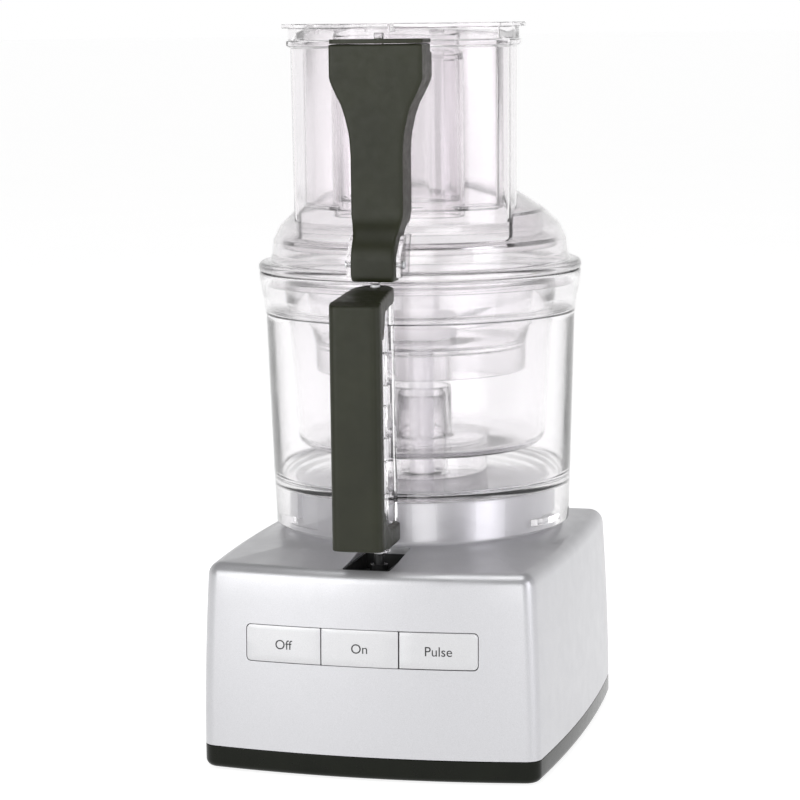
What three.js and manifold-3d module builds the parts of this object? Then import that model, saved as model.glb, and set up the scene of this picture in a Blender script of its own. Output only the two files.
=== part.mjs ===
// Food processor: tapered motor base, three nested clear bowls, domed lid with a wide feed tube and pushers.
// Millimetres, +Z up. The origin is on the floor under the middle of the bounding box.
// The buttons and the bowl's handle face -Y. The bowl, lid and drive share one vertical axis at y = BOWL_Y.
import * as THREE from 'three';
import { mergeVertices } from 'three/addons/utils/BufferGeometryUtils.js';
import Module from 'manifold-3d';

const wasm = await Module();
wasm.setup();

// ---------------------------------------------------------------- driving dimensions
const GAP = 0.3;                 // air left between pieces that touch
const ROUND = 24;                // facets round a large ring
const ROUND_SMALL = 10;          // facets round a pin or a screw
const BOWL_Y = 30.5;             // the common axis of bowls, lid and motor
const BASE_Y = 5.8;              // middle of the base

// The base's sides, front and back are bowed, and its walls lean in more steeply the higher they get.
const BASE = { halfW: 109.7, halfD: 127.6, sideBow: 4.8, frontBow: 8.5, backBow: 3, lean: 3.8, leanPower: 1.8,
               corner: 10, edge: 8, bottom: 15.4, top: 128.4, wall: 2.6 };
const PLINTH = { bottom: 1.2, top: BASE.bottom - GAP, wall: 7, floor: 3, edge: 4.5 };
const CROWN = { r: 88, z: 132.6, skirtR: 112, inset: 0.7 };   // the top rises gently towards the bowl's seat
const BOSS = { r: 84.5, top: 161.1, innerR: 78.5 };      // the round seat that stands inside the bowl's skirt
const LUG = { z0: 139.5, z1: 143.5, r: 82, halfAngle: 7, angles: [-165, -15, 90], turn: 30 };
const FOOT = { r: 9, h: 3.5, x: 82, y: 98 };
const POST = { x: 94, y: 109, r: 5, top: 40, ribHalf: 1.2 };   // a rib ties each post to the side wall

const PANEL = { x0: -75, x1: 69.9, z0: 70.2, z1: 93.2, corner: 3, splits: [-26.7, 21.6], clear: 0.4 };
const BUTTON = { backY: -109.4, stemEndY: -101.3, stemHalfX: 6, stemHalfZ: 5 };
const CARRIER = { x0: -78.6, x1: 73.5, z0: 65, z1: 98.4, frontY: -110.2, plateY0: -106.3, plateY1: -104.1 };
const BOARD_Y = -94.8;

const WELL = { halfX: 15, y0: -112.5, y1: -59.5, floor: 117, wall: 1.6 };   // the interlock's recess in the base top
const ROD_Y = -81;               // the safety rod runs down the handle's spine here
const ROD_R = 3;
const ROD_TIP_Z = 132.5;

const MAIN = { wall: 2.5, skirtR: 94.3, skirtZ: 136.2, floorTop: 164.4, floorBottom: 161.4, rimR: 103, rimZ: 297.1,
               ledgeZ: 271, chimneyR: 16.4, chimneyTop: 214 };
const MIDI = { r: 80.4, z: 184, wall: 2.2, rimR: 86.5, rimZ: 292, flangeR: 96.2, chimneyR: 19.3, chimneyTop: 220,
               footR: 42.5 };
const MINI = { floorZ: 247.8, floorTop: 250.4, skirtZ: 232, flangeR: 88, flangeZ: 292.3, tubeR: 19.5, tubeZ0: 230,
               tubeZ1: 258 };

const SPINE = { halfX: 8, frontY: -93, backY: -62.5, z0: 143.3, z1: 285.8 };
const SPINE_WINDOWS = [[236, 257], [204, 225], [170, 191], [152, 168]];
const HANDLE = { frontY: -133.5, gripBackY: -117.5, halfX: 15, gripBackHalfX: 10, bottom: 140.5, topFront: 290.5,
                 topBack: 296.5, backY: -74.4, cupTop: 151, cupBackY: -68.2, cupHalfX: 12.6 };

const LID = { flangeR: 103, flangeZ0: 297.4, flangeZ1: 303, wall: 2.5, skirtR: 96.8, skirtZ: 289 };
const TUBE = { halfW: 70, frontR: 85, backY: 13.5, corner: 12, wall: 2.6, rimZ0: 439.6, rimZ1: 442.4, rimOut: 2.9 };
const PUSHER = { outset: -8.2, wall: 2.2, bottom: 338, floor: 2.5, collarOut: 1.7, collarZ: 442.8, flangeOut: 5.8,
                 tabZ0: 447.8, flangeZ0: 450.2, top: 452.8 };
const DOSER = { halfX: 41, halfY: 20, y: -20.5, wall: 2.2, z0: 334, z1: 430 };
const DOSING = { halfX: 38.2, halfY: 17.2, wall: 2, z0: 344, z1: 445, flangeZ: 430.4 };

const ARM = { headHalfX: 29, neckHalfX: 16.2, footHalfX: 13.5, frontY: -75.5, footFrontY: -88.5, footBackY: -65.2,
              bottom: 299, top: 440.8, capTop: 443.7, rodY: -65, backR: 85.6 };

const SHAFT = { r: 6, z0: 9, z1: 175 };
const SPINDLE = { r: 8, z0: 150, z1: 266 };
const MOTOR = { half: 52, z0: 46, z1: 100, boreR: 30.6, rotorR: 30, boltAt: 45 };
const BLADE_HUB = { r: 23.5, z0: 251.6, shoulder: 262, top: 278 };

const COLOUR = { silver: 0xc9cad0, black: 0x17181a, olive: 0x34362b, clear: 0xe9e6e8, steel: 0xb9bcc0,
                 copper: 0xa8622e, dark: 0x2a2b2e, white: 0xf0f0ee, green: 0x2f5d3a };

// ---------------------------------------------------------------- geometry helpers
const rad = (deg) => deg * Math.PI / 180;

/** A closed three.js geometry as a manifold solid with its faces pointing outwards. */
function solid(geometry) {
  const bare = geometry.clone();
  bare.deleteAttribute('normal');
  bare.deleteAttribute('uv');
  const merged = mergeVertices(bare, 1e-4);
  const source = merged.index.array;
  const tris = [];
  for (let i = 0; i < source.length; i += 3) {
    const [a, b, c] = [source[i], source[i + 1], source[i + 2]];
    if (a !== b && b !== c && c !== a) tris.push(a, b, c);
  }
  const make = (list) => new wasm.Manifold(new wasm.Mesh({
    numProp: 3,
    vertProperties: Float32Array.from(merged.attributes.position.array),
    triVerts: Uint32Array.from(list),
  }));
  const first = make(tris);
  if (first.volume() > 0) return first;
  for (let i = 0; i < tris.length; i += 3) [tris[i], tris[i + 1]] = [tris[i + 1], tris[i]];
  return make(tris);
}

/** A manifold solid as a three.js geometry. */
function geometryOf(shape) {
  const mesh = shape.getMesh();
  const out = new THREE.BufferGeometry();
  out.setAttribute('position', new THREE.BufferAttribute(Float32Array.from(mesh.vertProperties), 3));
  out.setIndex(new THREE.BufferAttribute(Uint32Array.from(mesh.triVerts), 1));
  return out;
}

const join = (first, ...rest) => rest.reduce((sum, next) => sum.add(next), first);
const cut = (first, ...rest) => rest.reduce((sum, next) => sum.subtract(next), first);

/** A box from its low and high limits. */
function box(x0, x1, y0, y1, z0, z1) {
  const g = new THREE.BoxGeometry(x1 - x0, y1 - y0, z1 - z0);
  return solid(g.translate((x0 + x1) / 2, (y0 + y1) / 2, (z0 + z1) / 2));
}

/** A profile of [radius, z] points turned about the vertical through (x, y). */
function turned(profile, x = 0, y = BOWL_Y, sides = ROUND) {
  const points = profile.map(([r, z]) => new THREE.Vector2(r, z));
  return solid(new THREE.LatheGeometry(points, sides).rotateX(Math.PI / 2).translate(x, y, 0));
}

/** A closed ring profile turned about the vertical. */
const turnedRing = (profile, x, y, sides) => turned([...profile, profile[0]], x, y, sides);

/** An upright cylinder, with a second radius for its top if it tapers. */
function pillar(r, z0, z1, x = 0, y = BOWL_Y, sides = ROUND_SMALL, topR = r) {
  const g = new THREE.CylinderGeometry(topR, r, z1 - z0, sides);
  return solid(g.rotateX(Math.PI / 2).translate(x, y, (z0 + z1) / 2));
}

/** A cylinder that lies along X. */
function barX(r, x0, x1, y, z, sides = ROUND_SMALL) {
  const g = new THREE.CylinderGeometry(r, r, x1 - x0, sides);
  return solid(g.rotateZ(Math.PI / 2).translate((x0 + x1) / 2, y, z));
}

/** A cylinder that lies along Y. */
function barY(r, x, y0, y1, z, sides = ROUND_SMALL) {
  return solid(new THREE.CylinderGeometry(r, r, y1 - y0, sides).translate(x, (y0 + y1) / 2, z));
}

const extrude = (shape, depth) => new THREE.ExtrudeGeometry(shape, { depth, bevelEnabled: false, curveSegments: 4 });

/** A plan outline (x, y) carried up from z0 to z1. */
const prismZ = (shape, z0, z1) => solid(extrude(shape, z1 - z0).translate(0, 0, z0));

/** A side outline (y, z) carried across from x0 to x1. */
function prismX(shape, x0, x1) {
  const turn = new THREE.Matrix4().makeBasis(
    new THREE.Vector3(0, 1, 0), new THREE.Vector3(0, 0, 1), new THREE.Vector3(1, 0, 0));
  return solid(extrude(shape, x1 - x0).applyMatrix4(turn).translate(x0, 0, 0));
}

/** A front outline (x, z) carried back from y0 to y1. */
const prismY = (shape, y0, y1) => solid(extrude(shape, y1 - y0).rotateX(Math.PI / 2).translate(0, y1, 0));

const polygon = (points) => new THREE.Shape(points.map(([x, y]) => new THREE.Vector2(x, y)));

/** A rectangle with rounded corners as a shape. */
function roundedRect(x0, x1, y0, y1, r) {
  const s = new THREE.Shape();
  s.absarc(x1 - r, y0 + r, r, rad(-90), 0, false);
  s.absarc(x1 - r, y1 - r, r, 0, rad(90), false);
  s.absarc(x0 + r, y1 - r, r, rad(90), rad(180), false);
  s.absarc(x0 + r, y0 + r, r, rad(180), rad(270), false);
  return s;
}

/** The base's bowed plan about (0, BASE_Y), half-sizes taken at mid-side, with the same points at every size. */
function basePlan(halfW, halfD, r, perCorner = 3, perSide = 5) {
  const points = [];
  const quarter = (sx, sy, start) => {
    const [cx, cy] = [halfW - BASE.sideBow - r, halfD - (sy < 0 ? BASE.frontBow : BASE.backBow) - r];
    for (let i = 0; i <= perCorner; i++) {
      const a = rad(start + 90 * i / perCorner);
      points.push([sx * cx + r * Math.cos(a), BASE_Y + sy * cy + r * Math.sin(a)]);
    }
  };
  const [frontY, backY] = [BASE_Y - halfD + BASE.frontBow + r, BASE_Y + halfD - BASE.backBow - r];
  const along = (i) => 2 * i / (perSide + 1) - 1;
  const side = (s) => {
    for (let i = 1; i <= perSide; i++) {
      const t = s * along(i);
      points.push([s * (halfW - BASE.sideBow * t * t), (frontY + backY) / 2 + t * (backY - frontY) / 2]);
    }
  };
  const end = (s, bow) => {
    for (let i = 1; i <= perSide; i++) {
      const t = -s * along(i);
      points.push([t * (halfW - BASE.sideBow - r), BASE_Y + s * (halfD - bow * t * t)]);
    }
  };
  quarter(1, -1, -90);
  side(1);
  quarter(1, 1, 0);
  end(1, BASE.backBow);
  quarter(-1, 1, 90);
  side(-1);
  quarter(-1, -1, 180);
  end(-1, BASE.frontBow);
  return points;
}

/** A solid through a stack of outlines [[x, y], ...] at rising heights, all with the same number of points. */
function loft(levels) {
  const n = levels[0].plan.length;
  const position = [];
  for (const { plan, z } of levels) for (const [x, y] of plan) position.push(x, y, z);
  const index = [];
  for (let k = 0; k + 1 < levels.length; k++) {
    for (let i = 0; i < n; i++) {
      const [a, b] = [k * n + i, k * n + (i + 1) % n];
      index.push(a, b, b + n, a, b + n, a + n);
    }
  }
  const flat = levels[0].plan.map(([x, y]) => new THREE.Vector2(x, y));
  const lid = (levels.length - 1) * n;
  for (const [a, b, c] of THREE.ShapeUtils.triangulateShape(flat, [])) index.push(c, b, a, lid + a, lid + b, lid + c);
  const g = new THREE.BufferGeometry();
  g.setAttribute('position', new THREE.BufferAttribute(Float32Array.from(position), 3));
  g.setIndex(index);
  return solid(g);
}

/** A sector of a ring about the bowl's axis, angles in degrees. */
function sector(r0, r1, a0, a1, z0, z1) {
  const steps = Math.max(2, Math.ceil((a1 - a0) / 8));
  const points = [];
  for (let i = 0; i <= steps; i++) {
    const a = rad(a0 + (a1 - a0) * i / steps);
    points.push([r1 * Math.cos(a), BOWL_Y + r1 * Math.sin(a)]);
  }
  for (let i = steps; i >= 0; i--) {
    const a = rad(a0 + (a1 - a0) * i / steps);
    points.push([r0 * Math.cos(a), BOWL_Y + r0 * Math.sin(a)]);
  }
  return prismZ(polygon(points), z0, z1);
}

/** The feed tube's D-shaped plan, grown outwards by `out`: a front arc about the bowl's axis and a flat back. */
function feedPlan(out) {
  const halfW = TUBE.halfW + out;
  const frontR = TUBE.frontR + out;
  const corner = Math.max(3, TUBE.corner + out);
  const cornerX = halfW - corner;
  const cornerY = BOWL_Y - Math.sqrt((frontR - corner) ** 2 - cornerX ** 2);
  const swing = Math.asin(cornerX / (frontR - corner)) * 180 / Math.PI;
  const right = [];
  const arc = (cx, cy, r, a0, a1, n) => {
    for (let i = 0; i <= n; i++) {
      const a = rad(a0 + (a1 - a0) * i / n);
      right.push([cx + r * Math.cos(a), cy + r * Math.sin(a)]);
    }
  };
  arc(0, BOWL_Y, frontR, -90, -90 + swing, 6);
  right.pop();
  arc(cornerX, cornerY, corner, -90 + swing, 0, 3);
  arc(cornerX, TUBE.backY + out - corner, corner, 0, 90, 3);
  const left = right.slice(1).map(([x, y]) => [-x, y]).reverse();
  return [...right, ...left];
}

/** An oblong with round ends about (0, y). */
function oblong(halfX, halfY, y) {
  const s = new THREE.Shape();
  s.absarc(halfX - halfY, y, halfY, rad(-90), rad(90), false);
  s.absarc(-(halfX - halfY), y, halfY, rad(90), rad(270), false);
  return s;
}

/** A coil spring about a vertical, as wire swept along a helix. */
function coil(r, wire, z0, z1, turns, x, y) {
  const helix = new THREE.Curve();
  helix.getPoint = (t) => new THREE.Vector3(
    x + r * Math.cos(2 * Math.PI * turns * t), y + r * Math.sin(2 * Math.PI * turns * t), z0 + (z1 - z0) * t);
  const section = new THREE.Shape();
  for (let i = 0; i < 4; i++) {
    const a = 2 * Math.PI * i / 4;
    if (i === 0) section.moveTo(wire * Math.cos(a), wire * Math.sin(a));
    else section.lineTo(wire * Math.cos(a), wire * Math.sin(a));
  }
  return solid(new THREE.ExtrudeGeometry(section, { steps: turns * 8, extrudePath: helix, bevelEnabled: false }));
}

const group = new THREE.Group();
group.name = 'food_processor';

/** Adds one named piece with its own material. */
function piece(name, shape, color, roughness, metalness = 0) {
  const mesh = new THREE.Mesh(geometryOf(shape), new THREE.MeshStandardMaterial({ color, roughness, metalness }));
  mesh.name = name;
  group.add(mesh);
}

// ---------------------------------------------------------------- base
/** How far the base's wall has leaned in at a height. */
const leanAt = (z) => BASE.lean * Math.max(0, (z - BASE.bottom) / (BASE.top - BASE.bottom)) ** BASE.leanPower;

/** The base's outer form, shrunk by `inset` all round. */
function baseForm(inset, z0, z1) {
  const corner = BASE.corner - inset;
  const edge = Math.max(2, BASE.edge - inset);
  const level = (z, pull) => {
    const off = inset + leanAt(z) + pull;
    return { plan: basePlan(BASE.halfW - off, BASE.halfD - off, Math.max(2, corner - pull)), z };
  };
  const levels = [0, 0.4, 0.7].map((t) => level(z0 + t * (z1 - edge - z0), 0));
  for (let i = 0; i <= 3; i++) {
    const a = rad(90 * i / 3);
    levels.push(level(z1 - edge + edge * Math.sin(a), edge * (1 - Math.cos(a))));
  }
  return loft(levels);
}

const lugSweep = (angle) => [angle - LUG.halfAngle - 1.5, angle + LUG.turn + LUG.halfAngle + 1.5];

function baseHousing() {
  const crownForm = turned([[0, 127], [CROWN.skirtR, 127], [CROWN.skirtR, 128.6], [CROWN.r, CROWN.z], [0, CROWN.z]]);
  const off = BASE.lean + BASE.edge + CROWN.inset;
  const crown = crownForm.intersect(prismZ(polygon(basePlan(BASE.halfW - off, BASE.halfD - off, 8)), 126.9, 134));
  const boss = turned([[0, 128], [BOSS.r, 128], [BOSS.r, BOSS.top - 2], [BOSS.r - 2, BOSS.top], [0, BOSS.top]]);
  let shell = join(baseForm(0, BASE.bottom, BASE.top), crown, boss);
  shell = cut(shell, baseForm(BASE.wall, BASE.bottom - 1, BASE.top - BASE.wall),
    turned([[0, 120], [BOSS.innerR, 120], [BOSS.innerR, BOSS.top - 3], [0, BOSS.top - 3]]));
  for (const sx of [-1, 1]) for (const sy of [-1, 1]) {
    const [x, y] = [sx * POST.x, BASE_Y + sy * POST.y];
    const rib = box(Math.min(x, sx * BASE.halfW), Math.max(x, sx * BASE.halfW), y - POST.ribHalf, y + POST.ribHalf,
      BASE.bottom, POST.top);
    shell = join(shell, join(pillar(POST.r, BASE.bottom, POST.top, x, y), rib)
      .intersect(baseForm(0.5, BASE.bottom, BASE.top)));
    shell = cut(shell, pillar(1.8, BASE.bottom - 1, POST.top - 5, x, y, 8));
    shell = join(shell, pillar(5, 118.3, 127, sx * 66, BOWL_Y + sy * 62, 8));
  }
  for (const angle of LUG.angles) {
    const [from, to] = lugSweep(angle);
    shell = cut(shell, sector(LUG.r - 0.8, BOSS.r + 1, from, to, LUG.z0 - 0.5, LUG.z1 + 0.7),
      sector(LUG.r - 0.8, BOSS.r + 1, angle + LUG.turn - LUG.halfAngle - 1.5, to, LUG.z0 - 0.5, BOSS.top + 1));
  }
  shell = cut(shell, prismY(roundedRect(PANEL.x0, PANEL.x1, PANEL.z0, PANEL.z1, PANEL.corner), -130, -108),
    box(-WELL.halfX, WELL.halfX, WELL.y0, WELL.y1, 112, 140),
    pillar(11.3, 150, 170, 0, BOWL_Y, 24), barY(8, 60, 120, 140, 34));
  for (let i = 0; i < 7; i++) shell = cut(shell, box(-64 + 12 * i, -60 + 12 * i, 126, 138, 30, 58));
  return shell;
}

function basePlate() {
  const level = (off, z) => ({ plan: basePlan(BASE.halfW - off, BASE.halfD - off, BASE.corner - off), z });
  const levels = [];
  for (let i = 0; i <= 3; i++) {
    const a = rad(90 * i / 3);
    levels.push(level(PLINTH.edge * (1 - Math.sin(a)), PLINTH.bottom + PLINTH.edge * (1 - Math.cos(a))));
  }
  const outer = loft([...levels, level(0, PLINTH.top)]);
  const hollow = prismZ(polygon(level(PLINTH.wall, 0).plan), PLINTH.bottom + PLINTH.floor, 30);
  let plate = cut(outer, hollow);
  for (const sx of [-1, 1]) for (const sy of [-1, 1]) {
    const [x, y] = [sx * POST.x, BASE_Y + sy * POST.y];
    plate = join(plate, pillar(12, 4, 6.6, sx * FOOT.x, BASE_Y + sy * FOOT.y, 16),
      pillar(5.5, 4, PLINTH.top, x, y).intersect(outer));
    plate = cut(plate, pillar(FOOT.r + GAP, 0, FOOT.h + GAP, sx * FOOT.x, BASE_Y + sy * FOOT.y, 16),
      pillar(2.1, 0, 20, x, y, 8), pillar(4, 0, 9.6, x, y));
  }
  const cradle = cut(box(-70, -30, 98, 118, 4, 28), barX(18 + GAP, -80, -20, 108, 46, 20));
  return join(plate, cradle);
}

function addBase() {
  piece('base_housing', baseHousing(), COLOUR.silver, 0.35, 0.6);
  piece('base_plate', basePlate(), COLOUR.black, 0.4);
  let i = 0;
  for (const sx of [-1, 1]) for (const sy of [-1, 1]) {
    i += 1;
    piece(`foot_${i}`, pillar(FOOT.r, 0, FOOT.h, sx * FOOT.x, BASE_Y + sy * FOOT.y, 16), COLOUR.dark, 0.9);
    const [x, y] = [sx * POST.x, BASE_Y + sy * POST.y];
    piece(`base_screw_${i}`, join(pillar(3.6, 7, 9.3, x, y), pillar(1.4, 9, 30, x, y, 8)), COLOUR.steel, 0.35, 0.9);
  }
  const tray = box(-WELL.halfX + GAP, WELL.halfX - GAP, WELL.y0 + GAP, WELL.y1 - GAP, WELL.floor, 132)
    .intersect(baseForm(GAP, BASE.bottom, BASE.top));
  const w = WELL.wall;
  let insert = cut(tray, box(-WELL.halfX + w, WELL.halfX - w, WELL.y0 + w, WELL.y1 - w, WELL.floor + 2, 140));
  insert = join(insert, pillar(5.6, WELL.floor, 126, 0, ROD_Y));
  for (const s of [-1, 1]) insert = join(insert, box(s > 0 ? 12.3 : -14.4, s > 0 ? 14.4 : -12.3, -90, -72, 84, 118));
  insert = cut(insert, pillar(ROD_R + 0.4, 100, 140, 0, ROD_Y));
  piece('recess_insert', insert, COLOUR.black, 0.5);
  piece('interlock_switch', join(box(-12, 12, -89, -73, 84, 98), box(-3, 3, -84, -78, 98, 99.4)), COLOUR.dark, 0.5);
  piece('cord_grommet', cut(join(barY(7.6, 60, 116, 131.4, 34), barY(11, 60, 125, 128, 34)),
    barY(3.6, 60, 110, 140, 34)), COLOUR.black, 0.6);
  piece('run_capacitor', join(barX(18, -78, -24, 108, 46, 20), barX(3, -24, -18, 108, 46, 10)), COLOUR.white, 0.45);
}

function addControls() {
  const c = CARRIER;
  let carrier = cut(box(c.x0, c.x1, c.frontY, c.plateY1, c.z0, c.z1),
    box(c.x0 + 2, c.x1 - 2, c.frontY - 1, c.plateY0, c.z0 + 2, c.z1 - 2));
  const edges = [PANEL.x0, ...PANEL.splits, PANEL.x1];
  const midZ = (PANEL.z0 + PANEL.z1) / 2;
  const names = ['off_button', 'on_button', 'pulse_button'];
  const face = prismY(roundedRect(PANEL.x0 + PANEL.clear, PANEL.x1 - PANEL.clear, PANEL.z0 + PANEL.clear,
    PANEL.z1 - PANEL.clear, PANEL.corner), -130, BUTTON.backY).intersect(baseForm(0, BASE.bottom, BASE.top));
  let board = box(c.x0 + 2, c.x1 - 2, BOARD_Y, BOARD_Y + 1.6, c.z0, c.z1);
  names.forEach((name, i) => {
    const [x0, x1] = [edges[i] + (i ? 0.35 : 0), edges[i + 1] - (i < 2 ? 0.35 : 0)];
    const mid = (edges[i] + edges[i + 1]) / 2;
    const cap = face.intersect(box(x0, x1, -125, -100, 60, 100));
    piece(name, join(cap, box(mid - BUTTON.stemHalfX, mid + BUTTON.stemHalfX, BUTTON.backY - 1, BUTTON.stemEndY,
      midZ - BUTTON.stemHalfZ, midZ + BUTTON.stemHalfZ)), COLOUR.silver, 0.35, 0.5);
    carrier = cut(carrier, box(mid - 6.6, mid + 6.6, -107, -100, midZ - 5.6, midZ + 5.6));
    board = join(board, box(mid - 6, mid + 6, BOARD_Y - 4.4, BOARD_Y + 0.2, midZ - 6, midZ + 6));
  });
  for (const x of [c.x0 + 5, c.x1 - 5]) for (const z of [c.z0 + 5, c.z1 - 5])
    carrier = join(carrier, barY(2.4, x, c.plateY1 - 0.5, BOARD_Y - GAP, z, 10));
  piece('button_carrier', carrier, COLOUR.dark, 0.6);
  piece('switch_board', board, COLOUR.green, 0.6);
  piece('interlock_plunger', join(pillar(ROD_R, 100, ROD_TIP_Z - 0.4, 0, ROD_Y), pillar(4.8, 110, 113, 0, ROD_Y)),
    COLOUR.black, 0.5);
}

// ---------------------------------------------------------------- motor and drive
function boltHoles(shape, r = 2.4) {
  let out = shape;
  for (const sx of [-1, 1]) for (const sy of [-1, 1])
    out = cut(out, pillar(r, 0, 130, sx * MOTOR.boltAt, BOWL_Y + sy * MOTOR.boltAt, 8));
  return out;
}

function addMotor() {
  const h = MOTOR.half;
  const core = prismZ(roundedRect(-h, h, BOWL_Y - h, BOWL_Y + h, 9), MOTOR.z0, MOTOR.z1);
  piece('motor_stator', boltHoles(cut(core, pillar(MOTOR.boreR, 0, 130, 0, BOWL_Y, 24))), 0x6d7075, 0.5, 0.7);
  const coilRing = (z0, z1) => turnedRing([[34, z0], [46, z0], [50, z0 + 3], [48, z1], [36, z1]], 0, BOWL_Y, 24);
  piece('stator_winding_bottom', coilRing(36.5, MOTOR.z0 - GAP), COLOUR.copper, 0.45, 0.6);
  piece('stator_winding_top', coilRing(MOTOR.z1 + GAP, 109.5), COLOUR.copper, 0.45, 0.6);
  const bracket = (halfX, halfY, z0, z1, bossZ0, bossZ1) => {
    const plate = prismZ(roundedRect(-halfX, halfX, BOWL_Y - halfY, BOWL_Y + halfY, 6), z0, z1);
    return boltHoles(cut(join(plate, pillar(15, bossZ0, bossZ1, 0, BOWL_Y, 16)),
      pillar(11 + GAP, 0, 140, 0, BOWL_Y, 16)));
  };
  piece('motor_upper_bracket', bracket(74, 70, 114, 118, 113, 124), COLOUR.steel, 0.4, 0.8);
  piece('motor_lower_bracket', bracket(52, 52, 26, 30, 24, 34), COLOUR.steel, 0.4, 0.8);
  const race = (z0, z1) => turnedRing([[SHAFT.r + 0.4, z0], [11, z0], [11, z1], [SHAFT.r + 0.4, z1]], 0, BOWL_Y, 16);
  piece('upper_bearing', race(115, 123), COLOUR.steel, 0.25, 0.9);
  piece('lower_bearing', race(25, 33), COLOUR.steel, 0.25, 0.9);
  let n = 0;
  for (const sx of [-1, 1]) for (const sy of [-1, 1]) {
    n += 1;
    const [x, y] = [sx * MOTOR.boltAt, BOWL_Y + sy * MOTOR.boltAt];
    piece(`motor_bolt_${n}`, join(pillar(2, 23, 122, x, y, 8), pillar(4, 22, 25.7, x, y, 6)), COLOUR.steel, 0.35, 0.9);
  }
  piece('shaft_seal', turnedRing([[SPINDLE.r + 0.6, 156], [11, 156], [11, BOSS.top + GAP], [12.8, BOSS.top + GAP],
    [12.8, BOSS.top + 1.6], [SPINDLE.r + 0.6, BOSS.top + 1.6]], 0, BOWL_Y, 24), COLOUR.black, 0.8);
}

/** One curved blade: a thin crescent from the hub out to its tip, rising by `rise` on the way. */
function blade(angle, z, rise, reach) {
  const outline = new THREE.Shape();
  outline.moveTo(21.4, -7);
  outline.quadraticCurveTo(reach * 0.72, -9, reach, 9);
  outline.quadraticCurveTo(reach * 0.66, 5, 21.4, 7);
  outline.closePath();
  const g = extrude(outline, 1.4);
  const at = g.attributes.position;
  for (let i = 0; i < at.count; i++) at.setZ(i, at.getZ(i) + rise * (at.getX(i) - 21.4) / (reach - 21.4));
  return solid(g.rotateZ(rad(angle)).translate(0, BOWL_Y, z));
}

function addDrive() {
  piece('motor_shaft', pillar(SHAFT.r, SHAFT.z0, SHAFT.z1, 0, BOWL_Y, 20), COLOUR.steel, 0.25, 0.9);
  const bored = (shape) => cut(shape, pillar(SHAFT.r + GAP, 0, SHAFT.z1 + 1, 0, BOWL_Y, 20));
  piece('motor_rotor', bored(pillar(MOTOR.rotorR, 50, 96, 0, BOWL_Y, 24)), 0x8b8e92, 0.4, 0.8);
  let fan = join(pillar(40, 10.5, 12.3, 0, BOWL_Y, 24), pillar(11, 10.5, 20, 0, BOWL_Y, 20));
  for (let i = 0; i < 8; i++) {
    const vane = new THREE.BoxGeometry(29, 1.4, 8).translate(24, 0, 16).rotateZ(rad(45 * i)).translate(0, BOWL_Y, 0);
    fan = join(fan, solid(vane));
  }
  piece('motor_fan', bored(fan), COLOUR.black, 0.6);
  piece('drive_spindle', bored(turned([[0, SPINDLE.z0], [SPINDLE.r, SPINDLE.z0], [SPINDLE.r, SPINDLE.z1 - 2],
    [SPINDLE.r - 2, SPINDLE.z1], [0, SPINDLE.z1]], 0, BOWL_Y, 20)), COLOUR.steel, 0.3, 0.9);
  const hub = BLADE_HUB;
  let hubBody = cut(turned([[0, hub.z0], [hub.r, hub.z0], [hub.r, hub.shoulder], [13, hub.shoulder + 1.5],
    [11.5, hub.top - 2], [9.5, hub.top], [0, hub.top]], 0, BOWL_Y, 20),
    pillar(20.4, 240, hub.shoulder - 3, 0, BOWL_Y, 20),
    pillar(SPINDLE.r + 0.4, 240, SPINDLE.z1 + 1, 0, BOWL_Y, 20));
  for (const [angle, z] of [[200, 253.4], [20, 257.2]]) {
    const slot = new THREE.BoxGeometry(6, 15, 2.6).translate(24.1, 0, 0).rotateZ(rad(angle));
    hubBody = cut(hubBody, solid(slot.translate(0, BOWL_Y, z + 0.75)));
  }
  piece('mini_blade_hub', hubBody, COLOUR.white, 0.4);
  piece('mini_blade_low', blade(200, 253.4, 0, 60), COLOUR.steel, 0.2, 1);
  piece('mini_blade_high', blade(20, 257.2, 9, 56), COLOUR.steel, 0.2, 1);
}

// ---------------------------------------------------------------- bowls and handle
function mainBowl() {
  const m = MAIN;
  let bowl = turnedRing([
    [m.skirtR - m.wall, m.skirtZ], [m.skirtR, m.skirtZ], [98.6, 268], [100.4, 281], [m.rimR - 0.6, 291],
    [m.rimR, m.rimZ],
    [98.9, m.rimZ], [98.1, m.ledgeZ], [95.8, m.ledgeZ], [92.9, m.floorTop],
    [m.chimneyR, m.floorTop], [m.chimneyR, m.chimneyTop], [m.chimneyR - 2.4, m.chimneyTop],
    [m.chimneyR - 2.4, m.floorBottom], [92, m.floorBottom]]);
  for (const angle of LUG.angles)
    bowl = join(bowl, sector(LUG.r, 93, angle - LUG.halfAngle, angle + LUG.halfAngle, LUG.z0, LUG.z1));
  const s = SPINE;
  const clearOfBowl = pillar(94, s.z0 - 10, m.ledgeZ + 20, 0, BOWL_Y, ROUND);
  const foot = pillar(7.3, 134, s.z0 + 1, 0, ROD_Y, 20);
  let spine = join(cut(box(-s.halfX, s.halfX, s.frontY, s.backY, s.z0, s.z1), clearOfBowl), foot);
  const inside = pillar(98.5, 100, 400, 0, BOWL_Y, ROUND);
  for (const [z0, z1] of SPINE_WINDOWS) spine = cut(spine, cut(box(-20, 20, -87.5, -74.5, z0, z1), inside));
  bowl = join(bowl, cut(spine, turned([[0, 100], [93.4, 100], [93.4, m.floorTop], [96.6, m.ledgeZ - 1],
    [99.2, m.ledgeZ], [99.2, 320], [0, 320]])));
  return cut(bowl, pillar(ROD_R + 0.9, 130, 292, 0, ROD_Y), pillar(4.9, 144.5, 154, 0, ROD_Y),
    pillar(1.2, 140, 158, 0, -90.6, 10));
}

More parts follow.
